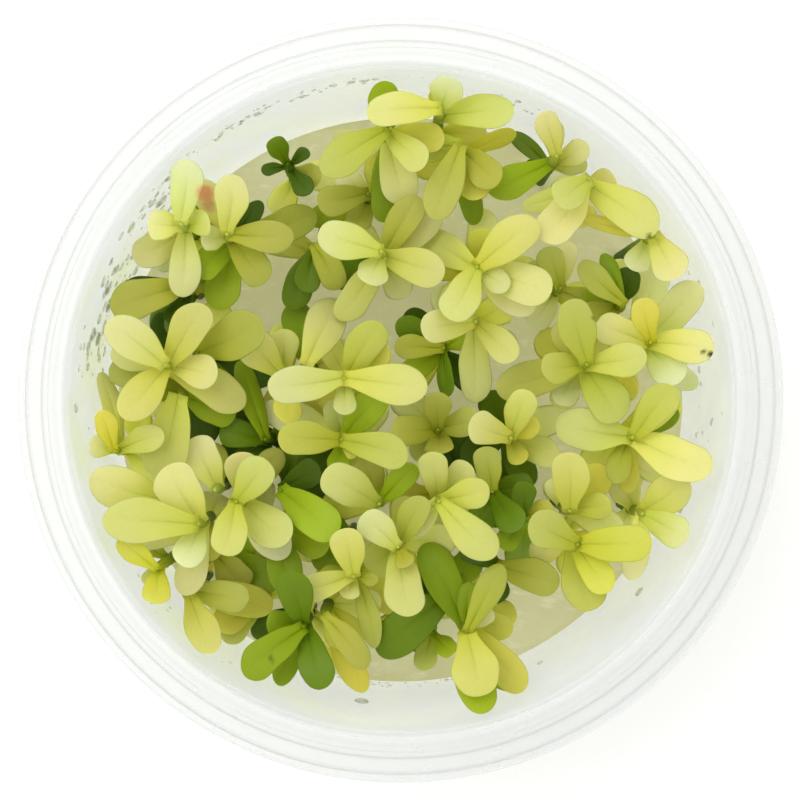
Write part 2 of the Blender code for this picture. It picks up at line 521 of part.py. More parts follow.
def place_leaf(shoot, row, ceiling, shoots, bands):
    """Find the place closest to what the table says where the leaf lies clear of all the others."""
    lift = natural_lift(row)
    width = true_width(row)
    lifts, bends = (grid.ravel() for grid in np.meshgrid(LIFTS, BENDS, indexing="ij"))
    rises = np.clip(lift + lifts, LOWEST, STEEPEST)
    falls = np.maximum(rises - bends, STEEPEST_FALL)
    starts = np.tan(np.radians(rises))
    ends = np.tan(np.radians(falls))
    shape_cost = LIFT_COST * np.abs(lifts - LIFTS[0]) + BEND_COST * np.abs(bends - BENDS[0])
    near = [other for other in shoots
            if np.hypot(*(other.crown - shoot.crown)) < row.reach + NEIGHBOUR]
    best = None
    best_cost = DEAREST
    for cost, band, turn, stretch in moves(bands):
        if cost >= best_cost:
            break
        height = shoot.height - NODE_STEP * (band + 0.5)
        if height < GEL_TOP + LOWEST_NODE:
            continue
        angle = math.radians(row.bearing + turn)
        tip = shoot.crown + stretch * row.reach * np.array((math.cos(angle), math.sin(angle)))
        out = tip - shoot.plan(height)
        reach = np.hypot(*out) - STEM_RADIUS
        side = shoot.side(math.degrees(math.atan2(out[1], out[0])))
        if reach < SHORTEST or not shoot.has_room(band, side):
            continue
        foot = tip - out * reach / (reach + STEM_RADIUS)
        found = Placed(foot, tip, 0, 0, height, width, row.roll, band, side, row.tone, row.depth)
        x, y, level = leaf_points(found, TEST_SHARES, TEST_ACROSS)
        shares = TEST_SHARES[None, :, None]
        arch = starts[:, None, None] * shares
        arch = arch + 0.5 * (ends - starts)[:, None, None] * shares ** 2
        heights = level[None] + reach * arch
        tilt = np.abs(starts + ends)[:, None, None] / 2
        thick = LEAF_OVER * np.sqrt(1 + tilt ** 2)
        bad = (heights + thick + CLEAR > ceiling.over(x, y)[None]).any(axis=(1, 2))
        bad |= (heights > TALLEST).any(axis=(1, 2))
        bad |= (heights < GEL_TOP + GEL_CLEAR).any(axis=(1, 2))
        from_axis = np.hypot(x, y)[None] * spread(heights)
        bad |= (from_axis > wall_radius(heights) - WALL_CLEAR).any(axis=(1, 2))
        free = TEST_SHARES >= FREE_SHARE
        out_by = shoot.in_front(side, x[free][None], y[free][None], heights[:, free])
        bad |= (out_by < STEM_FACE_CLEAR).any(axis=(1, 2))
        total = cost + shape_cost
        total[bad] = RULED_OUT
        if total.min() >= best_cost:
            continue
        total[blocked_by_stems(x, y, heights, shoot, near)] = RULED_OUT
        pick = int(total.argmin())
        if total[pick] < best_cost:
            best_cost = total[pick]
            best = found._replace(rise=rises[pick], fall=falls[pick])
    if best is None:
        return False
    shoot.used.add((best.band, best.side))
    shoot.leaves.append(best)
    x, y, heights = leaf_points(best, COVER_SHARES, COVER_ACROSS)
    slope = math.tan(math.radians((best.rise + best.fall) / 2))
    ceiling.lower(x, y, heights - LEAF_UNDER * math.hypot(1, slope))
    return True


def in_hollow(place):
    return any(np.hypot(place[0] - across, place[1] - up) < radius for across, up, radius in HOLLOWS)


def older_leaves(shoot, number):
    """Rows for the pairs that hang lower on a stem, each pair square to the one over it."""
    lowest = max((placed.band for placed in shoot.leaves), default=0)
    pair = 0
    for band in range(lowest + FIRST_OLDER, LAST_BAND, OLDER_STEP):
        if shoot.height - NODE_STEP * (band + 1) < GEL_TOP + OLDER_FLOOR:
            return
        lower = min(pair, 1)
        for half_turn in (0, 180):
            bearing = shoot.turn + 45 + 90 * pair + half_turn
            angle = math.radians(bearing)
            out = OLDER_REACHES[lower] * np.array((math.cos(angle), math.sin(angle)))
            shaded = in_hollow(shoot.crown + BLADE_MIDDLE * out)
            tones = SHADE_TONES if shaded else OLDER_TONES
            tone = tones[(number + pair) % len(tones)]
            if np.hypot(*(shoot.crown + out)) < OLDER_LIMIT:
                row = Leaf(bearing, OLDER_REACHES[lower], OLDER_WIDTHS[lower], tone, OLDER_DEPTH, 0)
                yield row, range(band, band + 2)
        pair += 1


def arrange():
    """Place every leaf of the table, the top layer first, and then the older leaves lower down."""
    ceiling = Ceiling()
    shoots = {}
    order = []
    for number, (name, across, up, height, depth, leaves) in enumerate(SHOOTS):
        for row in leaves:
            order.append((depth + row.depth, number, row))
    order.sort(key=lambda entry: entry[:2])
    for depth, number, row in order:
        name, across, up, height, _, leaves = SHOOTS[number]
        if name not in shoots:
            shoots[name] = Shoot(name, across, up, height, leaves, ceiling, shoots.values())
            shoots[name].path = shoots[name].course()
        place_leaf(shoots[name], row._replace(depth=depth), ceiling, list(shoots.values()), TABLE_BANDS)
    for west, east, south, north in OPEN_PATCHES:
        across, up = np.meshgrid(np.arange(west, east, PATCH_STEP), np.arange(south, north, PATCH_STEP))
        ceiling.lower(across, up, GEL_TOP)
    everyone = list(shoots.values())
    for number, shoot in enumerate(everyone):
        for row, bands in list(older_leaves(shoot, number)):
            place_leaf(shoot, row, ceiling, everyone, bands)
    return everyone


def leaf_section(placed, share):
    """The left edge, right edge and keel of a leaf at one place along it, in metres."""
    x, y, level = leaf_points(placed, np.array((share, share + NEXT_SHARE)), np.array((1, 0, -1)))
    points = [[Vector(solid_place(x[row, side], y[row, side], level[row, side]))
               for side in range(3)] for row in range(2)]
    left, middle, right = points[0]
    lift = (points[1][1] - middle).cross(left - right).normalized()
    over = lift * EDGE_OVER * MM
    keel = middle - lift * LEAF_UNDER * MM
    return left + over, right + over, keel


def solid_place(across, up, height):
    """A place of the plan and a height, as a point of the model in metres."""
    wide = spread(height) * MM
    return across * wide, up * wide, height * MM


def shoot_mesh(shoot):
    """Points and faces of one shoot: rings of four points down the stem, leaves out of its sides."""
    grown = {(placed.band, placed.side): placed for placed in shoot.leaves}
    cuts = {0}
    for band, _ in grown:
        cuts |= {band, band + 1}
    levels = [(cut, shoot.height - NODE_STEP * cut) for cut in sorted(cuts)]
    levels += [(None, GEL_TOP), (None, GEL_TOP - SOCKET_DEPTH + GAP)]
    points = [Vector((*shoot.centre(shoot.height), shoot.height + STEM_TIP)) * MM]
    faces = []
    for _, height in levels:
        middle = shoot.centre(height)
        for corner in range(4):
            angle = math.radians(shoot.turn + 45 + 90 * corner)
            offset = STEM_RADIUS * np.array((math.cos(angle), math.sin(angle)))
            points.append(Vector((*(middle + offset), height)) * MM)
    faces += [(0, 1 + corner, 1 + (corner + 1) % 4) for corner in range(4)]
    for step in range(len(levels) - 1):
        over = 1 + 4 * step
        under = over + 4
        for side in range(4):
            right = (side - 1) % 4
            placed = grown.get((levels[step][0], side))
            if placed is None:
                faces.append((over + right, under + right, under + side, over + side))
                continue
            faces.append((over + right, under + right, under + side))
            section = (over + side, over + right, under + side)
            for share in ring_shares(placed.depth):
                start = len(points)
                points.extend(leaf_section(placed, share))
                ring = (start, start + 1, start + 2)
                for a, b in ((0, 1), (1, 2), (2, 0)):
                    faces += split_outward(points, section[a], section[b], ring[b], ring[a])
                section = ring
            x, y, level = leaf_points(placed, np.array((1.0,)), np.array((0.0,)))
            points.append(Vector(solid_place(x[0, 0], y[0, 0], level[0, 0])))
            faces += [(section[a], section[b], len(points) - 1) for a, b in ((0, 1), (1, 2), (2, 0))]
    last = 1 + 4 * (len(levels) - 1)
    faces.append(tuple(reversed(range(last, last + 4))))
    return points, faces


def split_outward(points, a, b, c, d):
    """Two triangles for a bent four-sided face, split on the diagonal that stands outward."""
    normal = (points[b] - points[a]).cross(points[c] - points[a])
    if (points[d] - points[a]).dot(normal) <= 0:
        return [(a, b, c), (a, c, d)]
    return [(a, b, d), (b, c, d)]


def ring_shares(depth):
    """Where a leaf has its rings: more of them on the leaves that lie uppermost."""
    return RING_SHARES[min(depth, len(RING_SHARES) - 1)]


def plain_material(name, colour, roughness, transmission=0.0):
    material = bpy.data.materials.new(name)
    material.use_nodes = True
    shader = material.node_tree.nodes["Principled BSDF"]
    shader.inputs["Base Color"].default_value = (*colour, 1)
    shader.inputs["Roughness"].default_value = roughness
    shader.inputs["Transmission Weight"].default_value = transmission
    return material


def make_object(name, points, faces, material):
    """A mesh object whose faces run counter-clockwise as seen from outside."""
    mesh = bpy.data.meshes.new(name)
    mesh.from_pydata([tuple(point) for point in points], [], faces)
    mesh.materials.append(material)
    thing = bpy.data.objects.new(name, mesh)
    bpy.context.scene.collection.objects.link(thing)
    return thing


def turned(name, profile, material):
    """A solid turned about the upright axis, its first and last rings closed with flat faces."""
    points = []
    faces = []
    for radius, height in profile:
        for step in range(CUP_SEGMENTS):
            angle = 2 * math.pi * step / CUP_SEGMENTS
            points.append((radius * MM * math.cos(angle), radius * MM * math.sin(angle), height * MM))
    for ring in range(len(profile) - 1):
        for step in range(CUP_SEGMENTS):
            a = ring * CUP_SEGMENTS + step
            b = ring * CUP_SEGMENTS + (step + 1) % CUP_SEGMENTS
            faces.append((a, b, b + CUP_SEGMENTS, a + CUP_SEGMENTS))
    last = (len(profile) - 1) * CUP_SEGMENTS
    faces.append(tuple(reversed(range(CUP_SEGMENTS))))
    faces.append(tuple(range(last, last + CUP_SEGMENTS)))
    thing = make_object(name, points, faces, material)
    thing.data.shade_smooth()
    thing.data.set_sharp_from_angle(angle=math.radians(SHARP_ANGLE))
    return thing


def cup_profile():
    """The cup's section, from the hollow under its floor round the outside to the floor inside."""
    under_lip = CUP_HEIGHT - WALL
    wall_out = wall_radius(0) + WALL
    return [
        (FOOT_INNER_RADIUS - EDGE_ROUND, FOOT_DEPTH),
        (FOOT_INNER_RADIUS, 0.0),
        (FOOT_OUTER_RADIUS, 0.0),
        (wall_out - EDGE_ROUND, EDGE_ROUND),
        (wall_radius(FLOOR_TOP) + WALL, FLOOR_TOP),
        (wall_radius(under_lip - EDGE_ROUND) + WALL, under_lip - EDGE_ROUND),
        (LIP_INNER_RADIUS + WALL, under_lip),
        (LIP_RADIUS - SKIRT_ROUND, under_lip),
        (LIP_RADIUS - SKIRT_ROUND, under_lip - LEDGE_DROP),
        (LEDGE_RADIUS - EDGE_ROUND, under_lip - LEDGE_DROP),
        (FLANGE_RADIUS - WALL, SKIRT_TOP - WALL),
        (FLANGE_RADIUS - WALL, SKIRT_BOTTOM),
        (FLANGE_RADIUS, SKIRT_BOTTOM),
        (FLANGE_RADIUS, SKIRT_TOP),
        (LEDGE_RADIUS, CUP_HEIGHT - LEDGE_DROP),
        (LIP_RADIUS, CUP_HEIGHT - LEDGE_DROP),
        (LIP_RADIUS, CUP_HEIGHT - EDGE_ROUND),
        (LIP_RADIUS - EDGE_ROUND, CUP_HEIGHT),
        (LIP_INNER_RADIUS, CUP_HEIGHT),
        (WALL_TOP_RADIUS, WALL_TOP),
        (wall_radius(FLOOR_TOP + FLOOR_FILLET), FLOOR_TOP + FLOOR_FILLET),
        (wall_radius(FLOOR_TOP) - FLOOR_FILLET / 3, FLOOR_TOP + FLOOR_FILLET / 3),
        (wall_radius(FLOOR_TOP) - FLOOR_FILLET, FLOOR_TOP),
    ]


def gel_profile():
    """The gel's section: it fills the cup but for the gap, and creeps up the wall at its edge."""
    bottom = FLOOR_TOP + GAP
    edge = GEL_TOP + GEL_EDGE_RISE
    return [
        (wall_radius(bottom) - FLOOR_FILLET - GAP, bottom),
        (wall_radius(FLOOR_TOP) - FLOOR_FILLET / 3 - GAP, bottom + FLOOR_FILLET / 3),
        (wall_radius(FLOOR_TOP + FLOOR_FILLET) - GAP, bottom + FLOOR_FILLET),
        (wall_radius(edge) - GAP, edge),
        (wall_radius(edge) - GAP - GEL_CREEP / 3, edge - GEL_EDGE_RISE / 4),
        (wall_radius(edge) - GAP - GEL_CREEP, GEL_TOP + GEL_EDGE_RISE / 4),
        (GEL_FLAT_RADIUS, GEL_TOP),
    ]


def cut_sockets(gel, shoots):
    """Cut the square socket of each stem into the gel."""
    points = []
    faces = []
    half = STEM_RADIUS + GAP
    for shoot in shoots:
        start = len(points)
        for height in (GEL_TOP - SOCKET_DEPTH, GEL_TOP + SOCKET_CUT_OVER):
            for corner in range(4):
                angle = math.radians(shoot.turn + 45 + 90 * corner)
                offset = half * np.array((math.cos(angle), math.sin(angle)))
                points.append(Vector((*(shoot.root + offset), height)) * MM)
        low = [start + corner for corner in range(4)]
        high = [corner + 4 for corner in low]
        faces += [tuple(reversed(low)), tuple(high)]
        faces += [(low[a], low[(a + 1) % 4], high[(a + 1) % 4], high[a]) for a in range(4)]
    cutter = make_object("socket_cutter", points, faces, gel.data.materials[0])
    cutter.hide_render = True
    cutter.display_type = "WIRE"
    cut = gel.modifiers.new("sockets", "BOOLEAN")
    cut.operation = "DIFFERENCE"
    cut.solver = "EXACT"
    cut.object = cutter


def clear_scene():
    for thing in list(bpy.data.objects):
        bpy.data.objects.remove(thing)


def main():
    clear_scene()
    shoots = arrange()
    plastic = plain_material("clear_plastic", CLEAR_PLASTIC, roughness=0.15, transmission=0.9)
    turned("cup", cup_profile(), plastic)
    gel = turned("gel", gel_profile(), plain_material("set_gel", SET_GEL, roughness=0.1, transmission=0.8))
    cut_sockets(gel, shoots)
    for shoot in shoots:
        name = "shoot_" + shoot.name
        tone = np.mean([placed.tone for placed in shoot.leaves], axis=0)
        points, faces = shoot_mesh(shoot)
        make_object(name, points, faces, plain_material(name + "_leaf", tuple(tone), roughness=0.45))


if __name__ == "__main__":
    main()
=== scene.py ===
"""Looks of the water hyssop in its clear culture cup, seen from straight above.

The cup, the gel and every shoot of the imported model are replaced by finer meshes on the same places.
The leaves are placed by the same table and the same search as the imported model's solids.
"""

import math
from collections import namedtuple

import bpy
import numpy as np
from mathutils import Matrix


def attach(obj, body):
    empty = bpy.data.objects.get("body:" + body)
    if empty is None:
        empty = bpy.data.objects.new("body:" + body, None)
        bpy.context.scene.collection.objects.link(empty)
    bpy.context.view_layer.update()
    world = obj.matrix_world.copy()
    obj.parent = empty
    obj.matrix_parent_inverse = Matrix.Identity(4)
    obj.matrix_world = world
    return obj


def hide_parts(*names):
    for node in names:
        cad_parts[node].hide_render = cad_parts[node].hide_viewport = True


MM = 0.001

# The cup, in millimetres: radii from its axis, heights from the table it stands on
CUP_HEIGHT = 46.0
WALL_SLOPE = 0.105
WALL = 0.9
FLANGE_RADIUS = 50.0
LIP_RADIUS = 46.7
LIP_INNER_RADIUS = 43.9
WALL_TOP_RADIUS = 43.35
WALL_TOP = 45.4
LEDGE_RADIUS = 48.6
LEDGE_DROP = 0.9
SKIRT_TOP = 44.8
SKIRT_BOTTOM = 43.2
FLOOR_TOP = 1.9
FLOOR_FILLET = 1.4
FOOT_INNER_RADIUS = 34.5
FOOT_OUTER_RADIUS = 37.5
FOOT_DEPTH = 0.9
EDGE_ROUND = 0.35
SKIRT_ROUND = 0.7

# The gel: how high it stands, and how far its edge rises up the wall
GEL_TOP = 16.0
GEL_EDGE_RISE = 0.6

# The eye's height over the table, and then how stems and leaves are made and how clear they lie
EYE_HEIGHT = 346.0
STEM_RADIUS = 0.75
STEM_SPACING = 2.5
ROOT_SHARE = 0.97
ROOT_LIMIT = 37.0
ROOT_SLACK = 0.3
ROOT_ASIDES = (0, 1.2, 2.4, 3.6, 4.8, 6.2, 7.6)
ROOT_TURNS = range(0, 360, 30)
SHORTEST_STEM = 4.0
COURSE_OVER = 0.8
COURSE_STEPS = 44
COURSE_SKIP = 4
SPACING_TESTS = 12
CROWN_STEP = 0.6
NODE_STEP = 1.1
LOWEST_NODE = 1.0
TABLE_BANDS = range(12)
WIDEST = 0.62
FOOT_WIDTH = 0.42
SWELL_POWER = 1.0
TIP_POWER = 2.3
LEAF_PROPORTION = 2.25
FLAT_SHARE = 0.99
STEEP_SHARE = 0.55
LEAF_OVER = 0.2
LEAF_UNDER = 0.45
CLEAR = 0.35
TALLEST = 45.0
WALL_CLEAR = 0.5
GEL_CLEAR = 0.9

# The older leaves, lower on each stem: the first pair under the crown, and then one pair each step
FIRST_OLDER = 3
OLDER_STEP = 5
LAST_BAND = 40
OLDER_FLOOR = 2.5
OLDER_REACHES = (7.6, 6.8)
OLDER_WIDTHS = (4.4, 3.8)
OLDER_LIMIT = 37.0
OLDER_DEPTH = 9
BLADE_MIDDLE = 0.65

# Patches of the plan, west, east, south and north, where the gel lies open and no older leaf hangs
OPEN_PATCHES = ((16.6, 26.0, -31.8, -24.4), (-4.0, 7.6, -36.5, -33.6), (-23.5, -18.0, 27.0, 34.0),
                (23.0, 30.0, 18.8, 22.0))
PATCH_STEP = 0.3

# Dark hollows between the plants, as plan places and radii, where the older leaves take the dark shade
# tones: painted shade
PAINTED_SHADE_HOLLOWS = ((-24.5, -3.6, 5.0), (8.6, -6.6, 4.2), (7.3, 3.5, 2.6), (12.2, -0.7, 3.0), (-31.0, 9.0, 4.0),
           (14.8, -9.0, 3.6), (-12.5, -9.0, 5.5), (-22.5, 5.5, 4.0), (-19.5, -8.5, 3.6), (-6.5, 17.3, 2.6),
           (-18.0, -29.0, 3.5), (2.5, 10.8, 2.0))

# How far a leaf may be moved from what the table says, to lie clear of the others
TURNS = (0, 4, -4, 8, -8, 13, -13, 19, -19, 26, -26)
STRETCHES = (1.0, 0.93, 0.86, 0.76, 0.64)
LIFTS = np.array((12, 4, 20, -4, -12, -20, 28, -28, -36, -44, -52, -60))
BENDS = np.array((32, 14, 50))
STEEPEST = 66
LOWEST = -60
STEEPEST_FALL = -75

# What each of those moves costs, and the cost at which a leaf is given up
BAND_COST = 0.66
TURN_COST = 0.15
STRETCH_COST = 14
LIFT_COST = 0.05
BEND_COST = 0.02
DEAREST = 30.0
RULED_OUT = 99.0

# How near a leaf may come to another stem and to its own, and how far off stems are looked for
STEM_ASIDE = 1.5
STEM_ALONG = 1.0
STEM_FACE_CLEAR = 0.15
FREE_SHARE = 0.3
NEIGHBOUR = 9.0
SHORTEST = 0.6

# Colours: the leaves from the sunlit crowns down to the shade, where the darker tones are partly the
# leaves' own green and partly painted shade, and then the cup and the gel
IVORY = (0.95, 0.92, 0.60)
CREAM = (0.90, 0.85, 0.34)
PALE = (0.82, 0.79, 0.23)
YELLOW = (0.86, 0.79, 0.12)
GOLD = (0.67, 0.67, 0.13)
OLIVE = (0.51, 0.53, 0.08)
LIME = (0.41, 0.54, 0.02)
GREEN = (0.26, 0.39, 0.012)
MOSS = (0.14, 0.25, 0.008)
DARK = (0.065, 0.135, 0.006)
OLDER_TONES = ((0.78, 0.84, 0.26), (0.66, 0.76, 0.16), (0.84, 0.88, 0.36), (0.58, 0.66, 0.12))
# The dark tones that the older leaves in the hollows take: painted shade for the dark gaps
SHADE_TONES = (DARK, MOSS)

# One leaf as seen from above. Depth counts the layers over it, and roll turns it on edge
Leaf = namedtuple("Leaf", "bearing reach width tone depth roll", defaults=(0, 0))

# Name, crown across and up, crown height, layers over it, and the fields of its leaves
SHOOTS = (
    ("nw_1", -28.6, 22.9, 40.5, 0, ((88, 8.4, 4.4, IVORY), (180, 4.2, 4.2, IVORY), (4, 3.9, 3.6, PALE),
        (272, 9.6, 4.3, CREAM), (215, 7.7, 4.6, CREAM, 1), (245, 6.8, 2.8, IVORY, 1),
        (60, 1.8, 1.2, YELLOW))),
    ("nw_2", -22.6, 21.6, 40.0, 0, ((84, 7.7, 4.5, CREAM), (192, 3.4, 3.4, CREAM), (-3, 8.8, 4.2, OLIVE),
        (-53, 8.2, 4.4, OLIVE), (118, 7.7, 3.8, CREAM, 1), (206, 6.8, 4.2, LIME, 1),
        (263, 10.0, 4.6, LIME, 1), (42, 6.2, 2.5, DARK, 1), (12, 12.0, 4.6, OLIVE, 2),
        (-16, 12.2, 5.0, OLIVE, 2), (107, 8.1, 3.0, GREEN, 2))),
    ("nw_3", -14.7, 30.7, 37.0, 1, ((121, 3.8, 2.9, MOSS), (196, 3.5, 1.7, DARK), (32, 3.3, 1.8, DARK),
        (-53, 5.0, 2.8, DARK), (-25, 4.8, 3.4, OLIVE, 1))),
    ("nw_4", -4.2, 26.8, 34.0, 2, ((186, 7.2, 4.2, OLIVE), (146, 4.6, 3.2, IVORY),
        (250, 4.8, 3.6, OLIVE, 1), (205, 8.6, 3.4, LIME, 1))),
    ("nw_5", -11.3, 20.2, 34.0, 2, ((-58, 6.8, 3.6, OLIVE), (262, 6.4, 3.6, MOSS, 1),
        (40, 4.6, 3.2, DARK, 1), (-110, 9.0, 4.0, MOSS, 1))),
    ("nw_6", -28.3, 14.8, 36.0, 1, ((198, 9.8, 5.2, GOLD), (176, 8.2, 4.2, DARK, 1),
        (20, 6.5, 4.4, OLIVE, 1), (255, 5.4, 3.4, DARK, 1))),
    ("north_2", 5.2, 38.0, 42.0, 0, ((184, 9.6, 4.5, CREAM), (62, 4.4, 4.4, IVORY), (-2, 9.6, 4.5, PALE),
        (104, 2.4, 2.2, YELLOW))),
    ("north_1", -1.8, 35.2, 41.0, 0, ((214, 10.2, 4.8, GOLD), (-46, 7.0, 4.1, PALE),
        (2, 12.0, 4.2, YELLOW, 1), (-75, 10.2, 4.9, CREAM, 1), (268, 12.2, 3.9, GREEN, 1),
        (93, 6.2, 4.2, LIME, 1), (187, 7.0, 2.4, CREAM, 1))),
    ("north_3", 7.8, 33.2, 38.5, 0, ((251, 10.4, 4.7, GOLD), (-48, 7.2, 4.3, OLIVE),
        (-70, 7.6, 4.4, YELLOW, 1), (-80, 10.7, 3.1, GREEN, 1), (12, 7.4, 2.4, YELLOW, 1, 40),
        (180, 6.5, 4.4, GOLD, 1))),
    ("mid_1", -2.5, 19.3, 41.0, 0, ((164, 8.5, 5.0, CREAM), (248, 4.6, 4.2, CREAM), (-21, 8.8, 4.9, PALE),
        (56, 8.6, 4.2, GOLD), (33, 9.2, 4.4, CREAM, 1), (238, 10.5, 4.2, PALE, 1))),
    ("mid_2", 10.0, 17.3, 41.0, 0, ((37, 9.8, 5.2, PALE), (229, 7.8, 5.0, PALE), (-35, 5.0, 3.2, CREAM),
        (-18, 10.2, 5.6, CREAM, 1), (152, 8.4, 4.4, PALE, 1), (-38, 9.4, 4.6, IVORY, 2),
        (84, 5.0, 4.2, YELLOW, 2))),
    ("ne_1", 24.6, 28.8, 41.0, 0, ((216, 5.4, 4.5, PALE), (233, 10.2, 5.2, CREAM), (-39, 11.2, 5.4, PALE),
        (10, 5.6, 4.2, CREAM), (204, 9.6, 2.8, PALE, 1))),
    ("ne_2", 20.4, 31.8, 39.5, 0, ((212, 10.2, 4.2, LIME, 1), (106, 5.9, 3.4, CREAM),
        (78, 4.8, 3.0, CREAM), (36, 5.6, 3.2, IVORY), (-10, 4.8, 2.4, CREAM, 1),
        (142, 6.6, 2.4, MOSS, 1, 30), (194, 4.6, 2.4, DARK, 2))),
    ("ne_3", 33.0, 21.5, 37.0, 1, ((-61, 6.5, 4.8, CREAM), (167, 9.6, 2.0, YELLOW, 1),
        (-120, 5.5, 3.4, IVORY, 1))),
    ("ne_4", 20.9, 14.6, 34.0, 2, ((112, 5.6, 3.6, GOLD), (80, 6.0, 3.0, IVORY), (150, 5.4, 3.4, GOLD, 1),
        (-30, 5.5, 3.6, GOLD, 1), (235, 6.5, 3.6, IVORY, 1))),
    ("ne_5", 29.2, 12.4, 36.0, 1, ((137, 8.0, 3.4, OLIVE), (114, 7.2, 2.2, GREEN, 1),
        (82, 4.8, 3.6, DARK, 1), (200, 6.5, 4.0, OLIVE, 1), (160, 5.6, 3.6, LIME, 1))),
    ("west_1", -30.6, 4.5, 41.0, 0, ((143, 9.3, 5.2, CREAM), (56, 9.4, 5.0, PALE), (231, 8.8, 5.0, PALE),
        (-12, 7.0, 4.4, CREAM), (167, 7.2, 4.0, CREAM, 1), (-27, 11.7, 5.0, PALE, 1),
        (130, 2.2, 1.8, CREAM), (190, 7.4, 4.4, GOLD, 2))),
    ("west_2", -37.3, -6.7, 38.5, 1, ((106, 5.5, 3.0, YELLOW), (158, 3.8, 3.0, IVORY),
        (20, 7.0, 3.6, PALE), (99, 10.4, 2.6, CREAM, 1, 45))),
    ("west_3", -26.5, 6.0, 37.0, 1, ((33, 10.2, 6.0, OLIVE), (120, 6.5, 4.2, MOSS, 1),
        (-60, 6.0, 4.0, MOSS, 1))),
    ("west_4", -28.9, 0.6, 37.0, 1, ((256, 10.9, 6.0, PALE), (165, 7.5, 4.2, OLIVE, 1),
        (-22, 8.0, 4.4, LIME, 1))),
    ("west_5", -30.2, -13.2, 37.5, 1, ((159, 10.6, 5.4, CREAM), (75, 6.0, 3.8, OLIVE, 1))),
    ("west_6", -17.6, -5.2, 33.0, 2, ((108, 10.8, 3.2, GREEN, 0, 40), (170, 6.0, 4.0, MOSS),
        (255, 5.0, 3.6, DARK, 1), (30, 4.6, 3.4, GREEN, 1))),
    ("west_7", -15.4, 3.2, 35.0, 1, ((136, 6.8, 4.8, PALE), (262, 6.5, 3.6, YELLOW, 1),
        (60, 6.0, 3.8, PALE, 1))),
    ("sw_1", -26.3, -16.2, 41.0, 0, ((178, 12.4, 5.8, PALE), (118, 8.6, 6.0, CREAM),
        (251, 5.8, 4.2, IVORY), (255, 9.4, 4.1, CREAM, 1), (201, 9.0, 4.6, CREAM, 1),
        (-75, 5.0, 3.6, YELLOW, 2))),
    ("sw_2", -21.4, -13.3, 40.5, 0, ((55, 6.8, 4.9, PALE), (35, 2.7, 2.3, YELLOW), (260, 7.1, 4.8, PALE),
        (-37, 8.6, 5.2, PALE), (80, 6.6, 4.6, CREAM, 1), (-48, 9.8, 4.8, IVORY, 1),
        (49, 9.0, 3.6, OLIVE, 1))),
    ("sw_3", -24.2, -11.8, 38.0, 1, ((111, 7.4, 5.0, IVORY), (92, 6.2, 3.6, GOLD, 1))),
    ("sw_4", -31.8, -22.0, 41.5, 0, ((155, 6.2, 3.2, YELLOW), (270, 4.5, 3.8, YELLOW),
        (118, 5.0, 2.6, GOLD, 1), (225, 2.6, 1.6, CREAM, 0, 30))),
    ("sw_5", -27.6, -25.2, 38.0, 1, ((-67, 8.4, 4.4, PALE), (-5, 8.0, 4.2, GOLD),
        (-9, 11.2, 4.6, YELLOW, 1), (262, 5.0, 2.0, GOLD, 1))),
    ("sw_6", -24.2, -20.2, 32.0, 2, ((-46, 6.0, 4.6, OLIVE), (-33, 9.4, 4.8, GREEN, 1),
        (225, 5.0, 3.4, OLIVE, 1), (20, 6.0, 3.8, LIME, 1))),
    ("sw_7", -16.2, -16.4, 32.0, 2, ((-80, 9.0, 4.4, GREEN), (-25, 7.5, 4.4, LIME, 1))),
    ("sw_8", -18.6, -27.0, 31.0, 2, ((202, 6.0, 3.8, YELLOW), (226, 6.6, 3.6, PALE, 1),
        (100, 5.0, 3.2, DARK, 1))),
    ("south_1", -12.6, -29.6, 39.0, 0, ((219, 9.9, 4.7, GREEN), (107, 7.6, 4.6, MOSS),
        (-73, 8.4, 4.5, MOSS), (40, 7.6, 4.6, OLIVE, 1), (172, 4.8, 3.6, GREEN, 1),
        (247, 8.2, 3.4, GREEN, 1))),
    ("south_2", -9.9, -28.0, 39.5, 0, ((-51, 8.8, 3.6, OLIVE), (-62, 11.3, 3.7, YELLOW, 1),
        (-66, 4.6, 2.6, YELLOW, 0, 30), (-30, 6.2, 3.0, YELLOW, 2))),
    ("south_3", -6.1, -23.0, 40.5, 0, ((100, 6.4, 4.6, PALE), (214, 8.2, 3.8, PALE),
        (-8, 3.3, 1.9, OLIVE), (253, 3.0, 2.7, CREAM), (-73, 9.7, 2.8, GOLD, 1),
        (224, 7.4, 4.4, OLIVE, 1))),
    ("south_4", -0.3, -19.2, 40.5, 0, ((138, 6.3, 4.4, CREAM), (-64, 2.8, 2.6, OLIVE),
        (-88, 9.1, 5.2, PALE), (62, 7.4, 3.9, GOLD), (216, 7.6, 5.0, GOLD, 1))),
    ("south_5", 5.0, -13.3, 40.5, 0, ((-48, 10.2, 4.8, PALE), (15, 6.8, 4.1, PALE), (100, 6.6, 4.0, PALE),
        (50, 6.4, 4.0, CREAM, 1), (225, 6.5, 4.0, CREAM, 2))),
    ("south_6", -2.8, -13.6, 38.0, 1, ((147, 8.3, 5.3, PALE), (46, 7.0, 3.4, LIME),
        (108, 6.4, 3.8, OLIVE, 1))),
    ("south_7", -15.6, -11.8, 37.0, 1, ((-43, 9.4, 5.4, LIME), (60, 6.0, 3.8, DARK, 1),
        (215, 5.5, 3.6, DARK, 1))),
    ("south_8", 6.6, -25.2, 33.0, 2, ((220, 12.3, 5.6, MOSS), (60, 6.5, 4.0, GREEN, 1),
        (-60, 5.0, 3.6, DARK, 1), (160, 5.6, 4.0, DARK, 1))),
    ("south_9", 4.2, -30.4, 29.0, 2, ((-46, 3.8, 2.8, LIME), (252, 5.0, 3.0, GOLD),
        (222, 3.4, 2.4, MOSS, 1))),
    ("south_10", 8.7, -30.2, 40.5, 0, ((63, 9.9, 3.6, OLIVE), (44, 4.4, 2.8, CREAM, 0, 30),
        (-70, 8.5, 6.2, PALE), (-79, 10.8, 5.2, LIME, 1), (-46, 12.3, 4.5, YELLOW, 1),
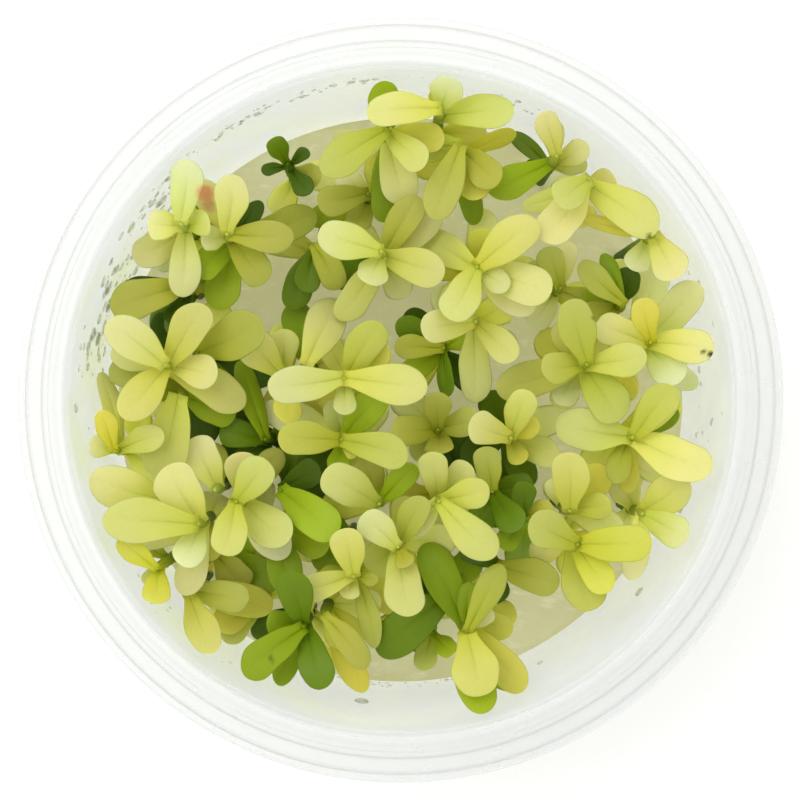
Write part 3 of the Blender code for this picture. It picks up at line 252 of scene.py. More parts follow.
        (-53, 12.9, 4.2, LIME, 2), (4, 6.0, 3.6, YELLOW, 2), (83, 6.5, 2.8, GREEN, 1),
        (116, 12.8, 4.9, GREEN, 1))),
    ("south_11", 12.6, -21.6, 31.0, 2, ((-17, 8.4, 4.6, OLIVE), (150, 5.5, 3.8, DARK),
        (-95, 5.0, 3.6, DARK, 1))),
    ("south_12", -6.5, -18.0, 33.0, 2, ((-58, 7.5, 5.0, OLIVE), (150, 5.0, 3.8, MOSS, 1),
        (-120, 6.0, 4.0, GREEN, 1))),
    ("centre_1", -7.3, 2.8, 41.5, 0, ((-7, 10.9, 5.2, PALE), (187, 10.0, 4.9, CREAM),
        (272, 4.8, 3.0, PALE), (57, 8.6, 4.8, GOLD, 1))),
    ("centre_2", -12.3, 4.5, 38.0, 1, ((64, 9.5, 5.2, CREAM), (170, 4.8, 3.8, YELLOW),
        (-60, 5.5, 3.6, GOLD, 1), (100, 8.4, 4.2, GREEN, 2))),
    ("centre_3", -7.7, -5.2, 39.5, 0, ((178, 8.2, 4.6, GOLD), (-16, 9.0, 4.5, GOLD),
        (-50, 3.0, 1.8, YELLOW), (48, 8.6, 4.4, LIME, 1), (99, 5.4, 3.8, PALE, 1),
        (170, 11.0, 4.4, IVORY, 2), (262, 4.6, 3.0, LIME, 1))),
    ("centre_4", 4.9, -3.9, 34.5, 2, ((93, 4.9, 3.7, OLIVE), (180, 6.0, 4.3, GOLD), (14, 5.6, 3.9, GOLD),
        (278, 3.2, 3.8, YELLOW), (235, 5.0, 3.4, GOLD, 1))),
    ("centre_5", 9.8, 10.2, 39.0, 0, ((187, 7.2, 4.5, CREAM), (-47, 7.2, 4.0, PALE),
        (270, 10.6, 4.3, CREAM, 1), (-42, 2.4, 1.8, CREAM))),
    ("centre_6", 5.6, 6.7, 34.0, 2, ((178, 6.4, 3.2, OLIVE), (-86, 6.4, 2.2, MOSS, 0, 50),
        (30, 4.5, 3.0, LIME, 1), (150, 7.0, 3.6, MOSS, 1), (215, 5.6, 3.6, LIME, 1))),
    ("centre_7", 14.4, -5.0, 39.0, 0, ((159, 5.8, 4.3, CREAM), (71, 6.6, 4.0, PALE),
        (26, 4.2, 3.2, YELLOW), (-65, 3.6, 2.7, YELLOW), (-24, 6.8, 3.9, PALE, 1))),
    ("centre_8", 12.0, -12.0, 34.0, 2, ((88, 6.0, 3.8, GOLD), (-55, 6.0, 4.0, MOSS),
        (-110, 6.0, 3.8, MOSS, 1), (10, 5.4, 3.8, MOSS, 1))),
    ("east_1", 24.3, 4.6, 41.0, 0, ((104, 8.7, 5.0, GOLD), (184, 6.0, 4.2, GOLD), (8, 7.8, 4.4, PALE),
        (-59, 8.4, 5.5, GOLD), (-35, 2.4, 2.4, YELLOW), (192, 12.3, 4.9, GOLD, 1),
        (236, 6.4, 3.8, CREAM, 1), (128, 6.8, 4.0, PALE, 2))),
    ("east_2", 32.6, 7.5, 40.5, 0, ((101, 5.8, 3.7, YELLOW), (163, 7.6, 4.4, CREAM),
        (-7, 8.2, 4.6, CREAM), (-52, 6.4, 4.8, IVORY, 1), (50, 9.8, 4.7, CREAM, 1),
        (62, 5.4, 2.4, YELLOW, 2), (-41, 8.4, 3.4, IVORY, 2), (97, 10.7, 4.4, IVORY, 2))),
    ("east_3", 30.3, -4.9, 41.0, 0, ((170, 10.3, 5.4, PALE), (70, 8.4, 4.5, GOLD),
        (48, 8.5, 4.5, CREAM, 1), (-23, 11.0, 5.6, CREAM), (248, 6.5, 3.2, OLIVE),
        (266, 7.3, 2.9, YELLOW), (-52, 5.2, 3.8, CREAM, 1), (30, 6.8, 3.0, GREEN, 2))),
    ("east_4", 22.1, -14.5, 38.5, 0, ((92, 8.9, 5.1, PALE), (7, 5.4, 3.4, GOLD),
        (50, 7.4, 4.4, YELLOW, 1))),
    ("se_1", 23.1, -18.9, 40.5, 0, ((132, 7.1, 5.0, GOLD), (10, 9.6, 5.1, YELLOW),
        (-56, 7.3, 4.1, YELLOW), (-79, 8.7, 5.6, GOLD, 1), (193, 6.4, 3.6, CREAM, 2))),
    ("se_2", 31.6, -14.9, 38.5, 1, ((-30, 6.5, 4.4, CREAM), (43, 7.4, 5.1, PALE), (122, 6.4, 4.6, CREAM),
        (-97, 8.7, 3.6, IVORY, 1))),
    ("se_3", 16.1, -15.6, 34.0, 2, ((232, 4.8, 3.2, GREEN), (-102, 8.0, 4.6, GREEN), (95, 5.0, 3.2, MOSS),
        (25, 4.4, 2.8, YELLOW), (160, 5.4, 3.4, MOSS, 1))),
)


def spread(height):
    """How much wider a place lies than it looks from the eye, against the height of the rim."""
    return (EYE_HEIGHT - height) / (EYE_HEIGHT - CUP_HEIGHT)


def wall_radius(height):
    """Radius of the wall's inner face at a height."""
    return WALL_TOP_RADIUS - WALL_SLOPE * (WALL_TOP - height)


def half_width(share, width):
    """Half a leaf's width along its length: a narrow foot, widest past the middle, a round tip."""
    rise = np.clip(share / WIDEST, 0, 1)
    fall = np.clip((share - WIDEST) / (1 - WIDEST), 0, 1)
    swell = FOOT_WIDTH + (1 - FOOT_WIDTH) * np.sin(0.5 * math.pi * rise) ** SWELL_POWER
    return 0.5 * width * swell * np.sqrt(np.clip(1 - fall ** TIP_POWER, 0, 1))


class Ceiling:
    """The lowest underside so far over each small square of the plan."""

    CELL = 0.35
    REACH = 46.0

    def __init__(self):
        self.count = int(2 * self.REACH / self.CELL)
        self.under = np.full((self.count, self.count), CUP_HEIGHT)

    def square(self, across, up):
        """The squares that some places of the plan fall in."""
        column = np.clip(((across + self.REACH) / self.CELL).astype(int), 1, self.count - 2)
        row = np.clip(((up + self.REACH) / self.CELL).astype(int), 1, self.count - 2)
        return column, row

    def over(self, across, up):
        return self.under[self.square(across, up)]

    def lower(self, across, up, height):
        """Bring the ceiling down to some heights, with one square more on every side."""
        column, row = self.square(across, up)
        for aside in (-1, 0, 1):
            for along in (-1, 0, 1):
                np.minimum.at(self.under, (column + aside, row + along), height)


class Shoot:
    """A stem from its crown down into the gel, and the leaves that found a place on it."""

    def __init__(self, name, across, up, height, turn, ceiling, shoots):
        self.name = name
        over = float(ceiling.over(np.array(across), np.array(up)))
        self.height = min(height, over - LEAF_UNDER - 2 * CLEAR)
        self.crown = np.array((across, up))
        self.turn = turn
        self.leaves = []
        self.used = set()
        self.find_root(ceiling, shoots)

    def centre(self, height):
        """Where the stem's middle lies at a height, in millimetres."""
        top = self.crown * spread(self.height)
        share = (self.height - height) / (self.height - GEL_TOP)
        return top + (self.root - top) * min(share, 1)

    def plan(self, height):
        return self.centre(height) / spread(height)

    def course(self):
        """Points down the middle of the stem, as plan places and heights."""
        heights = np.linspace(self.height + COURSE_OVER, GEL_TOP, COURSE_STEPS)
        return np.array([(*self.plan(height), height) for height in heights])

    def find_root(self, ceiling, shoots):
        """Set the root under the crown, or beside that place where another stem or leaf is."""
        while self.height > GEL_TOP + SHORTEST_STEM:
            under = self.crown * spread(self.height) * ROOT_SHARE
            under *= min(1, ROOT_LIMIT / np.hypot(*under))
            for aside in ROOT_ASIDES:
                for angle in np.radians(ROOT_TURNS):
                    self.root = under + aside * np.array((math.cos(angle), math.sin(angle)))
                    if self.stands_clear(ceiling, shoots):
                        return
            self.height -= CROWN_STEP
        raise ValueError("no room for the stem of " + self.name)

    def stands_clear(self, ceiling, shoots):
        if np.hypot(*self.root) > ROOT_LIMIT + ROOT_SLACK:
            return False
        course = self.course()[COURSE_SKIP:]
        over = ceiling.over(course[:, 0], course[:, 1])
        if np.any(course[:, 2] + CLEAR > over):
            return False
        for other in shoots:
            heights = np.linspace(GEL_TOP, min(self.height, other.height), SPACING_TESTS)
            apart = [np.hypot(*(self.centre(height) - other.centre(height))) for height in heights]
            if min(apart) < STEM_SPACING:
                return False
        return True

    def has_room(self, band, side):
        """A band holds one leaf, or two that stand opposite each other."""
        taken = [other for at, other in self.used if at == band]
        return not taken or taken == [(side + 2) % 4]

    def side(self, bearing):
        """Which of the stem's four sides faces a bearing."""
        return round((bearing - self.turn) / 90) % 4

    def in_front(self, side, x, y, heights):
        """How far some places of the plan, at some heights, stand out from one side of the stem."""
        angle = math.radians(self.turn + 90 * side)
        out = np.array((math.cos(angle), math.sin(angle), 0))
        top = np.array((*self.centre(self.height), self.height))
        axis = top - np.array((*self.root, GEL_TOP))
        normal = np.cross((-out[1], out[0], 0), axis)
        normal /= np.linalg.norm(normal)
        face = top + STEM_RADIUS * math.cos(math.pi / 4) * out
        wide = spread(heights)
        return (x * wide - face[0]) * normal[0] + (y * wide - face[1]) * normal[1] \
            + (heights - face[2]) * normal[2]


Placed = namedtuple("Placed", "foot tip rise fall height width roll band side tone depth")


def leaf_points(placed, shares, across):
    """Plan places and heights of points on a leaf, by share of its length and of its half width."""
    along = placed.tip - placed.foot
    reach = np.hypot(*along)
    beside = np.array((-along[1], along[0])) / reach
    shares = shares[:, None]
    half = half_width(shares, placed.width) * across[None, :]
    roll = math.radians(placed.roll)
    flat = half * math.cos(roll)
    x = placed.foot[0] + along[0] * shares + beside[0] * flat
    y = placed.foot[1] + along[1] * shares + beside[1] * flat
    start = math.tan(math.radians(placed.rise))
    end = math.tan(math.radians(placed.fall))
    arch = reach * (start * shares + 0.5 * (end - start) * shares ** 2)
    return x, y, placed.height + arch + half * math.sin(roll)


def true_width(row):
    """How wide a leaf is across its blade, from how wide it looks when it is rolled."""
    return row.width / math.cos(math.radians(row.roll))


def natural_lift(row):
    """How steeply a leaf stands, from how short it looks for its width."""
    share = row.reach / (LEAF_PROPORTION * true_width(row))
    return math.degrees(math.acos(min(FLAT_SHARE, max(STEEP_SHARE, share))))


TEST_SHARES = np.linspace(0, 1, 15)
TEST_ACROSS = np.linspace(-1, 1, 5)
COVER_SHARES = np.linspace(0, 1, 40)
COVER_ACROSS = np.linspace(-1, 1, 11)


def blocked_by_stems(x, y, heights, shoot, shoots):
    """Which of the tried profiles pass too close to another shoot's stem."""
    blocked = np.zeros(len(heights), bool)
    flat = heights.reshape(len(heights), -1)
    for other in shoots:
        if other is shoot:
            continue
        course = other.path
        away = np.hypot(x.ravel()[:, None] - course[:, 0], y.ravel()[:, None] - course[:, 1])
        near = away < STEM_ASIDE
        points, steps = np.nonzero(near)
        if len(points):
            blocked |= (np.abs(flat[:, points] - course[steps, 2]) < STEM_ALONG).any(axis=1)
    return blocked


def moves(bands):
    """Where a leaf is tried: band, turn and stretch, the cheapest first."""
    found = []
    for step, band in enumerate(bands):
        for turn in TURNS:
            for stretch in STRETCHES:
                cost = BAND_COST * step + TURN_COST * abs(turn) + STRETCH_COST * (1 - stretch)
                found.append((cost, band, turn, stretch))
    return sorted(found)


def place_leaf(shoot, row, ceiling, shoots, bands):
    """Find the place closest to what the table says where the leaf lies clear of all the others."""
    lift = natural_lift(row)
    width = true_width(row)
    lifts, bends = (grid.ravel() for grid in np.meshgrid(LIFTS, BENDS, indexing="ij"))
    rises = np.clip(lift + lifts, LOWEST, STEEPEST)
    falls = np.maximum(rises - bends, STEEPEST_FALL)
    starts = np.tan(np.radians(rises))
    ends = np.tan(np.radians(falls))
    shape_cost = LIFT_COST * np.abs(lifts - LIFTS[0]) + BEND_COST * np.abs(bends - BENDS[0])
    near = [other for other in shoots
            if np.hypot(*(other.crown - shoot.crown)) < row.reach + NEIGHBOUR]
    best = None
    best_cost = DEAREST
    for cost, band, turn, stretch in moves(bands):
        if cost >= best_cost:
            break
        height = shoot.height - NODE_STEP * (band + 0.5)
        if height < GEL_TOP + LOWEST_NODE:
            continue
        angle = math.radians(row.bearing + turn)
        tip = shoot.crown + stretch * row.reach * np.array((math.cos(angle), math.sin(angle)))
        out = tip - shoot.plan(height)
        reach = np.hypot(*out) - STEM_RADIUS
        side = shoot.side(math.degrees(math.atan2(out[1], out[0])))
        if reach < SHORTEST or not shoot.has_room(band, side):
            continue
        foot = tip - out * reach / (reach + STEM_RADIUS)
        found = Placed(foot, tip, 0, 0, height, width, row.roll, band, side, row.tone, row.depth)
        x, y, level = leaf_points(found, TEST_SHARES, TEST_ACROSS)
        shares = TEST_SHARES[None, :, None]
        arch = starts[:, None, None] * shares
        arch = arch + 0.5 * (ends - starts)[:, None, None] * shares ** 2
        heights = level[None] + reach * arch
        tilt = np.abs(starts + ends)[:, None, None] / 2
        thick = LEAF_OVER * np.sqrt(1 + tilt ** 2)
        bad = (heights + thick + CLEAR > ceiling.over(x, y)[None]).any(axis=(1, 2))
        bad |= (heights > TALLEST).any(axis=(1, 2))
        bad |= (heights < GEL_TOP + GEL_CLEAR).any(axis=(1, 2))
        from_axis = np.hypot(x, y)[None] * spread(heights)
        bad |= (from_axis > wall_radius(heights) - WALL_CLEAR).any(axis=(1, 2))
        free = TEST_SHARES >= FREE_SHARE
        out_by = shoot.in_front(side, x[free][None], y[free][None], heights[:, free])
        bad |= (out_by < STEM_FACE_CLEAR).any(axis=(1, 2))
        total = cost + shape_cost
        total[bad] = RULED_OUT
        if total.min() >= best_cost:
            continue
        total[blocked_by_stems(x, y, heights, shoot, near)] = RULED_OUT
        pick = int(total.argmin())
        if total[pick] < best_cost:
            best_cost = total[pick]
            best = found._replace(rise=rises[pick], fall=falls[pick])
    if best is None:
        return
    shoot.used.add((best.band, best.side))
    shoot.leaves.append(best)
    x, y, heights = leaf_points(best, COVER_SHARES, COVER_ACROSS)
    slope = math.tan(math.radians((best.rise + best.fall) / 2))
    ceiling.lower(x, y, heights - LEAF_UNDER * math.hypot(1, slope))


def in_shaded_hollow(place):
    return any(np.hypot(place[0] - across, place[1] - up) < radius for across, up, radius in PAINTED_SHADE_HOLLOWS)


def older_leaves(shoot, number):
    """Rows for the pairs that hang lower on a stem, each pair square to the one over it."""
    lowest = max((placed.band for placed in shoot.leaves), default=0)
    pair = 0
    for band in range(lowest + FIRST_OLDER, LAST_BAND, OLDER_STEP):
        if shoot.height - NODE_STEP * (band + 1) < GEL_TOP + OLDER_FLOOR:
            return
        lower = min(pair, 1)
        for half_turn in (0, 180):
            bearing = shoot.turn + 45 + 90 * pair + half_turn
            angle = math.radians(bearing)
            out = OLDER_REACHES[lower] * np.array((math.cos(angle), math.sin(angle)))
            # An older leaf in a hollow takes a shade tone: painted shade
            shaded = in_shaded_hollow(shoot.crown + BLADE_MIDDLE * out)
            tones = SHADE_TONES if shaded else OLDER_TONES
            tone = tones[(number + pair) % len(tones)]
            if np.hypot(*(shoot.crown + out)) < OLDER_LIMIT:
                row = Leaf(bearing, OLDER_REACHES[lower], OLDER_WIDTHS[lower], tone, OLDER_DEPTH)
                yield row, range(band, band + 2)
        pair += 1


def arrange():
    """Place every leaf of the table, the top layer first, and then the older leaves lower down."""
    ceiling = Ceiling()
    shoots = {}
    order = []
    for number, (*_, depth, leaves) in enumerate(SHOOTS):
        for row in leaves:
            row = Leaf(*row)
            order.append((depth + row.depth, number, row))
    order.sort(key=lambda entry: entry[:2])
    for depth, number, row in order:
        name, across, up, height, _, leaves = SHOOTS[number]
        if name not in shoots:
            turn = Leaf(*leaves[0]).bearing
            shoots[name] = Shoot(name, across, up, height, turn, ceiling, shoots.values())
            shoots[name].path = shoots[name].course()
        place_leaf(shoots[name], row._replace(depth=depth), ceiling, list(shoots.values()), TABLE_BANDS)
    for west, east, south, north in OPEN_PATCHES:
        across, up = np.meshgrid(np.arange(west, east, PATCH_STEP), np.arange(south, north, PATCH_STEP))
        ceiling.lower(across, up, GEL_TOP)
    everyone = list(shoots.values())
    for number, shoot in enumerate(everyone):
        for row, bands in list(older_leaves(shoot, number)):
            place_leaf(shoot, row, ceiling, everyone, bands)
    return everyone


# The fine leaves: rows along and places across, thicknesses and depths in millimetres
FINE_ROWS = 22
PLAIN_ROWS = 13
FINE_ACROSS = np.array((-1, -0.94, -0.78, -0.52, -0.26, -0.09, 0, 0.09, 0.26, 0.52, 0.78, 0.94, 1))
PLAIN_ACROSS = np.array((-1, -0.8, -0.4, 0, 0.4, 0.8, 1))
BLADE_OVER = 0.17
BLADE_UNDER = 0.2
THICK_FROM = 3.0
THINNEST = 0.4
TIP_BLUNTNESS = 6
RIB_UNDER = 0.16
RIB_BREADTH = 0.2
RIB_FADE = 0.7
GROOVE = 0.24
GROOVE_BREADTH = 0.13
INSIDE_STEM = 0.85
NO_LENGTH = 1e-12

# How one fine leaf differs from the next
SWAY = 0.035
TWIST = 10
DROOP = (-0.05, 0.16)
FOLD = (0.15, 0.5)
FOLD_FADE = 1.4
RIPPLE = 0.07
RIPPLE_WAVES = (1.0, 1.8)
LOPSIDED = 0.06
LOPSIDED_WAVES = (0.8, 1.6)
TONE_SEED = 9000
OWN_TONE = 0.05
OWN_RED = 0.04
OWN_BLUE = 0.12

# Gains on a leaf's tone: on every one, and then on the dark, the older and the ivory ones; the older
# leaves' gain is partly a hue match and partly painted light, lightening them in the shade they hang in
TOP_GAIN = np.array((0.955, 0.985, 1.06))
DEEP_GAIN = np.array((0.5, 0.27, 0.15))
OLDER_PAINTED_LIGHT_GAIN = np.array((1.5, 1.25, 1.4))
IVORY_GAIN = np.array((1.03, 1.02, 0.85))
PALEST_FROM = 0.5
DEEP_BELOW = 0.7
SHADE_BELOW = 0.3

# Tints of a leaf's foot, tip and margin, and how far along or across each of them goes
FOOT_TINT = np.array((0.03, 0.0, 0.55))
FOOT_TO = (0.55, 0.95)
FOOT_FADE = 1.2
TIP_TINT = np.array((-0.03, -0.02, 0.10))
TIP_FROM = 0.45
TIP_SHARE = (0.4, 1)
MARGIN_TINT = np.array((-0.02, 0.0, 0.06))
MARGIN_FROM = 0.55
BRIGHTEST = 0.97

# Marks on the leaves, as plan places, radii and colours: a peach bruise, and dark nicks and spots
BLEMISHES = (
    (-25.3, 26.8, 1.3, (0.86, 0.46, 0.22)),
    (-24.9, 25.2, 1.0, (0.80, 0.52, 0.25)),
    (13.6, 9.9, 0.45, (0.10, 0.16, 0.03)),
    (14.6, 9.8, 0.5, (0.08, 0.14, 0.02)),
    (15.7, 9.8, 0.45, (0.10, 0.16, 0.03)),
    (25.4, 10.6, 0.5, (0.12, 0.16, 0.03)),
    (39.4, 6.2, 0.45, (0.16, 0.22, 0.04)),
    (40.3, 5.9, 0.5, (0.06, 0.08, 0.02)),
    (32.3, 21.2, 0.45, (0.18, 0.20, 0.05)),
    (-16.7, -33.6, 0.4, (0.05, 0.09, 0.01)),
)
BLEMISH_EDGE = 2.5
BLEMISH_LAYERS = 1

# Stems: a round tube that is slimmer near the crown and swollen at the nodes
STEM_SIDES = 12
STEM_STEP = 0.7
STEM_SLIMMER = 0.05
STEM_IN_GEL = 1.5
NODE_SWELL = 0.12
NODE_LENGTH = 0.45
STEM_END = -0.6
TAPER = 4.0
TOP_SHARE = 0.3
STEM_LOW = np.array((0.10, 0.20, 0.015))
STEM_HIGH = (0.78, 0.90, 0.35)
STEM_FADE = 2.2
STEM_LEAF_PLACE = (0.5, 0.6, 0.5)

# The cup and the gel
SEGMENTS = 160
CORNER = 0.3
CORNER_SHARE = 0.45
CORNER_STEPS = (0, 0.33, 0.67, 1)
CUP_SHARP = 40
GEL_SHARP = 50
GEL_GAP = 0.12
GEL_RINGS = 90
GEL_WAVE = 0.12
GEL_WAVES = ((1, 0.45, 0.3, 0), (1, -0.33, 0.7, 1.3), (0.5, 1.3, 1.1, 0))
GEL_CALM = 3
EDGE_CREEP = 0.7
STEM_CREEP = 0.5
STEM_CREEP_OUT = 0.6

# Drops on the wall: zones as bearings, heights, drop widths and how many; and drops that lie alone
DROP_ZONES = (
    (92, 146, 37.4, 39.6, 0.3, 1.2, 64),
    (86, 150, 39.6, 41.2, 0.2, 0.6, 34),
    (60, 72, 35.0, 39.6, 0.3, 0.9, 20),
    (134, 176, 25.0, 41.0, 0.3, 1.5, 110),
    (138, 172, 24.0, 40.0, 1.2, 2.6, 24),
    (-8, 24, 24.0, 40.0, 0.3, 1.2, 26),
    (252, 284, 17.2, 20.0, 0.3, 0.9, 36),
    (176, 238, 30.0, 41.0, 0.25, 0.9, 20),
)
LONE_DROPS = ((-97.3, 29.5, 2.0), (-38.8, 31.0, 1.6), (-21.3, 28.0, 1.4), (181.5, 41.0, 1.3),
              (-62.0, 26.0, 0.9), (-130.0, 33.0, 1.0))
LONE_HEIGHT = 1.6
DROP_HEIGHTS = (0.5, 1.5)
DROP_THICK = 0.17
DROP_GAP = 0.03
DROP_SEED = 41
DROP_SIDES = 12
DROP_RISES = (0.0, 0.35, 0.65, 0.88)

# Which shoots take the finish of the yellow and of the green leaves
YELLOW_SHOOTS = ("sw_4", "south_2", "south_10", "west_2", "ne_2", "ne_3", "nw_6", "sw_5", "se_2",
                 "west_3", "west_4", "sw_3")
GREEN_SHOOTS = ("nw_3", "nw_4", "nw_5", "ne_4", "ne_5", "west_6", "west_7", "sw_6", "sw_7", "sw_8",
                "south_1", "south_8", "south_9", "south_11", "south_12", "centre_4", "centre_6",
                "centre_8", "se_3", "south_7")

# The picture: where the cup is in an 800 pixel frame, and how many pixels a millimetre of its rim takes
FRAME_SIZE = 800
CUP_CENTRE_PX = (400.3, 399.6)
SCALE_PX = 7.7
SENSOR = 36.0
NEAREST_SEEN = 10.0

# The studio, in metres and watts
BOARD = 1.5
LAMP_PLACE = (-0.35, 0.32, 0.75)
LAMP_SIZE = 0.7
LAMP_POWER = 2.4
BOARD_COLOUR = (0.92, 0.92, 0.92)
BOARD_ROUGHNESS = 0.8
BOARD_GLOW = 0.12

# Each leaf finish: its material's name, its roughness, and how much light goes through it
LEAF_FINISHES = {
    "leaf_pale": ("pale_leaf", 0.40, 0.38),
    "leaf_yellow": ("yellow_leaf", 0.38, 0.38),
    "leaf_green": ("green_leaf", 0.36, 0.30),
}


def ring_faces(start, rings, count, inward=False):
    """Quads that join rings of points, each ring to the next one."""
    faces = []
    for ring in range(rings - 1):
        a = start + ring * count
        for i in range(count):
            j = (i + 1) % count
            quad = (a + i, a + j, a + count + j, a + count + i)
            faces.append((quad[0], *quad[:0:-1]) if inward else quad)
    return faces


def mesh_piece(name, points, faces, material, sharp=None):
    """A smooth mesh in the scene, from points in metres, with its edges sharp from an angle on."""
    mesh = bpy.data.meshes.new(name)
    mesh.from_pydata(np.asarray(points).tolist(), [], faces)
    mesh.shade_smooth()
    if sharp:
        mesh.set_sharp_from_angle(angle=math.radians(sharp))
    mesh.materials.append(material)
    piece = bpy.data.objects.new(name, mesh)
    bpy.context.scene.collection.objects.link(piece)
    return piece


def blade_middle(placed, shares, across, draw):
    """The middle surface of a leaf as plan places and heights, bent and twisted a little at random."""
    x, y, z = leaf_points(placed, shares, across)
    along = placed.tip - placed.foot
    reach = np.hypot(*along)
    beside = np.array((-along[1], along[0])) / reach
    u = np.clip(shares, 0, 1)[:, None]
    v = across[None, :]
    half = half_width(u, placed.width)
    waves = draw.uniform(*LOPSIDED_WAVES)
    wobble = np.sin(2 * math.pi * (waves * u + draw.uniform(size=2)[(v > 0).astype(int)]))
    wider = half * v * LOPSIDED * wobble * math.cos(math.radians(placed.roll))
    aside = wider + draw.uniform(-SWAY, SWAY) * reach * np.sin(math.pi * u)
    x = x + beside[0] * aside
    y = y + beside[1] * aside
    z = z + half * v * math.tan(math.radians(draw.uniform(-TWIST, TWIST))) * u
    z = z - draw.uniform(*DROOP) * half * v ** 2
    z = z + draw.uniform(*FOLD) * half * np.abs(v) * (1 - u) ** FOLD_FADE
    z = z - GROOVE * np.exp(-(v / GROOVE_BREADTH) ** 2) * (1 - u) * (u > 0)
    wave = np.sin(2 * math.pi * (draw.uniform(*RIPPLE_WAVES) * u + draw.uniform()) + 2 * np.sign(v))
    z = z + RIPPLE * wave * v ** 2 * np.sin(math.pi * u)
    return x, y, z


def solid_places(x, y, z):
    """Plan places and heights as points of the model in metres."""
    wide = spread(z) * MM
    return np.stack((x * wide, y * wide, z * MM), axis=-1)


def blade(placed, number, fine):
    """Points, faces and shading places of one leaf: a closed blade with a round margin."""
    draw = np.random.default_rng(number)
    rows = FINE_ROWS if fine else PLAIN_ROWS
    across = FINE_ACROSS if fine else PLAIN_ACROSS
    reach = np.hypot(*(placed.tip - placed.foot))
    start = -INSIDE_STEM / reach
    even = np.linspace(0, 1, rows + 1)[:-1]
    shares = start + (1 - start) * (1 - (1 - even) ** 2)
    middle = solid_places(*blade_middle(placed, shares, across, draw))
    normal = np.cross(np.gradient(middle, axis=0), np.gradient(middle, axis=1))
    normal /= np.maximum(np.linalg.norm(normal, axis=2, keepdims=True), NO_LENGTH)
    u = np.clip(shares, 0, 1)[:, None]
    round_edge = np.sqrt(1 - across ** 2)[None, :] * np.sqrt(np.clip(1 - u ** TIP_BLUNTNESS, 0, 1))
    slight = np.clip(placed.width / THICK_FROM, THINNEST, 1)
    over = slight * BLADE_OVER * round_edge
    rib = RIB_UNDER * np.exp(-(across[None, :] / RIB_BREADTH) ** 2) * (1 - u) ** RIB_FADE
    under = slight * (BLADE_UNDER * round_edge + rib)
    top = middle + normal * over[..., None] * MM
    bottom = middle - normal * (under * (np.abs(across) < 1))[..., None] * MM
    rings = np.concatenate((top, bottom[:, -2:0:-1]), axis=1)
    places = np.concatenate((across, across[-2:0:-1]))
    count = rings.shape[1]
    tip = leaf_points(placed, np.array((1.0,)), np.array((0.0,)))
    points = np.concatenate((rings.reshape(-1, 3), solid_places(*tip).reshape(1, 3)))
    last = (rows - 1) * count
    faces = ring_faces(0, rows, count)
    faces += [(last + i, last + (i + 1) % count, len(points) - 1) for i in range(count)]
    faces.append(tuple(range(count - 1, -1, -1)))
    shade = np.zeros((len(points), 3))
    shade[:-1, 0] = np.repeat(np.clip(shares, 0, 1), count)
    shade[:-1, 1] = np.tile(places, rows)
    shade[-1, 0] = 1
    shade[:, 2] = draw.uniform()
    return points, faces, shade


def balanced(placed):
    """A leaf's tone as it must be for the light that reaches its layer; the older leaves are lightened,
    partly as painted light.
    """
    tone = np.array(placed.tone)
    deep = max(0, 1 - tone[0] / DEEP_BELOW)
    gain = TOP_GAIN + deep * DEEP_GAIN
    # Painted light: the older leaves, deep in shade, are made lighter (and their hue matched)
    if placed.depth >= OLDER_DEPTH and tone[0] > SHADE_BELOW:
        gain = gain * OLDER_PAINTED_LIGHT_GAIN
    if tone[2] > PALEST_FROM:
        gain = gain * IVORY_GAIN
    return tone * gain


def leaf_tones(placed, points, shade, number):
    """Colour of each point of a leaf: tinted at its foot, tip and margin, and no two leaves alike."""
    draw = np.random.default_rng(TONE_SEED + number)
    tone = balanced(placed) * (1 + draw.uniform(-OWN_TONE, OWN_TONE))
    tone = tone * (1 + draw.uniform(-OWN_RED, OWN_RED), 1, 1 + draw.uniform(-OWN_BLUE, OWN_BLUE))
    u = shade[:, 0:1]
    v = np.abs(shade[:, 1:2])
    foot = np.clip(1 - u / draw.uniform(*FOOT_TO), 0, 1) ** FOOT_FADE
    tones = tone * (1 - foot * FOOT_TINT)
    tip = np.clip((u - TIP_FROM) / (1 - TIP_FROM), 0, 1) * draw.uniform(*TIP_SHARE)
    margin = np.clip((v - MARGIN_FROM) / (1 - MARGIN_FROM), 0, 1) * (1 - foot)
    tones = np.clip(tones * (1 + tip * TIP_TINT + margin * MARGIN_TINT), 0, BRIGHTEST)
    if placed.depth > BLEMISH_LAYERS:
        return tones
    plan = points[:, :2] / MM / spread(points[:, 2:] / MM)
    for across, up, radius, colour in BLEMISHES:
        away = np.hypot(plan[:, 0:1] - across, plan[:, 1:2] - up)
        share = np.clip(BLEMISH_EDGE * (1 - away / radius), 0, 1)
        tones = tones + share * (np.array(colour) - tones)
    return tones


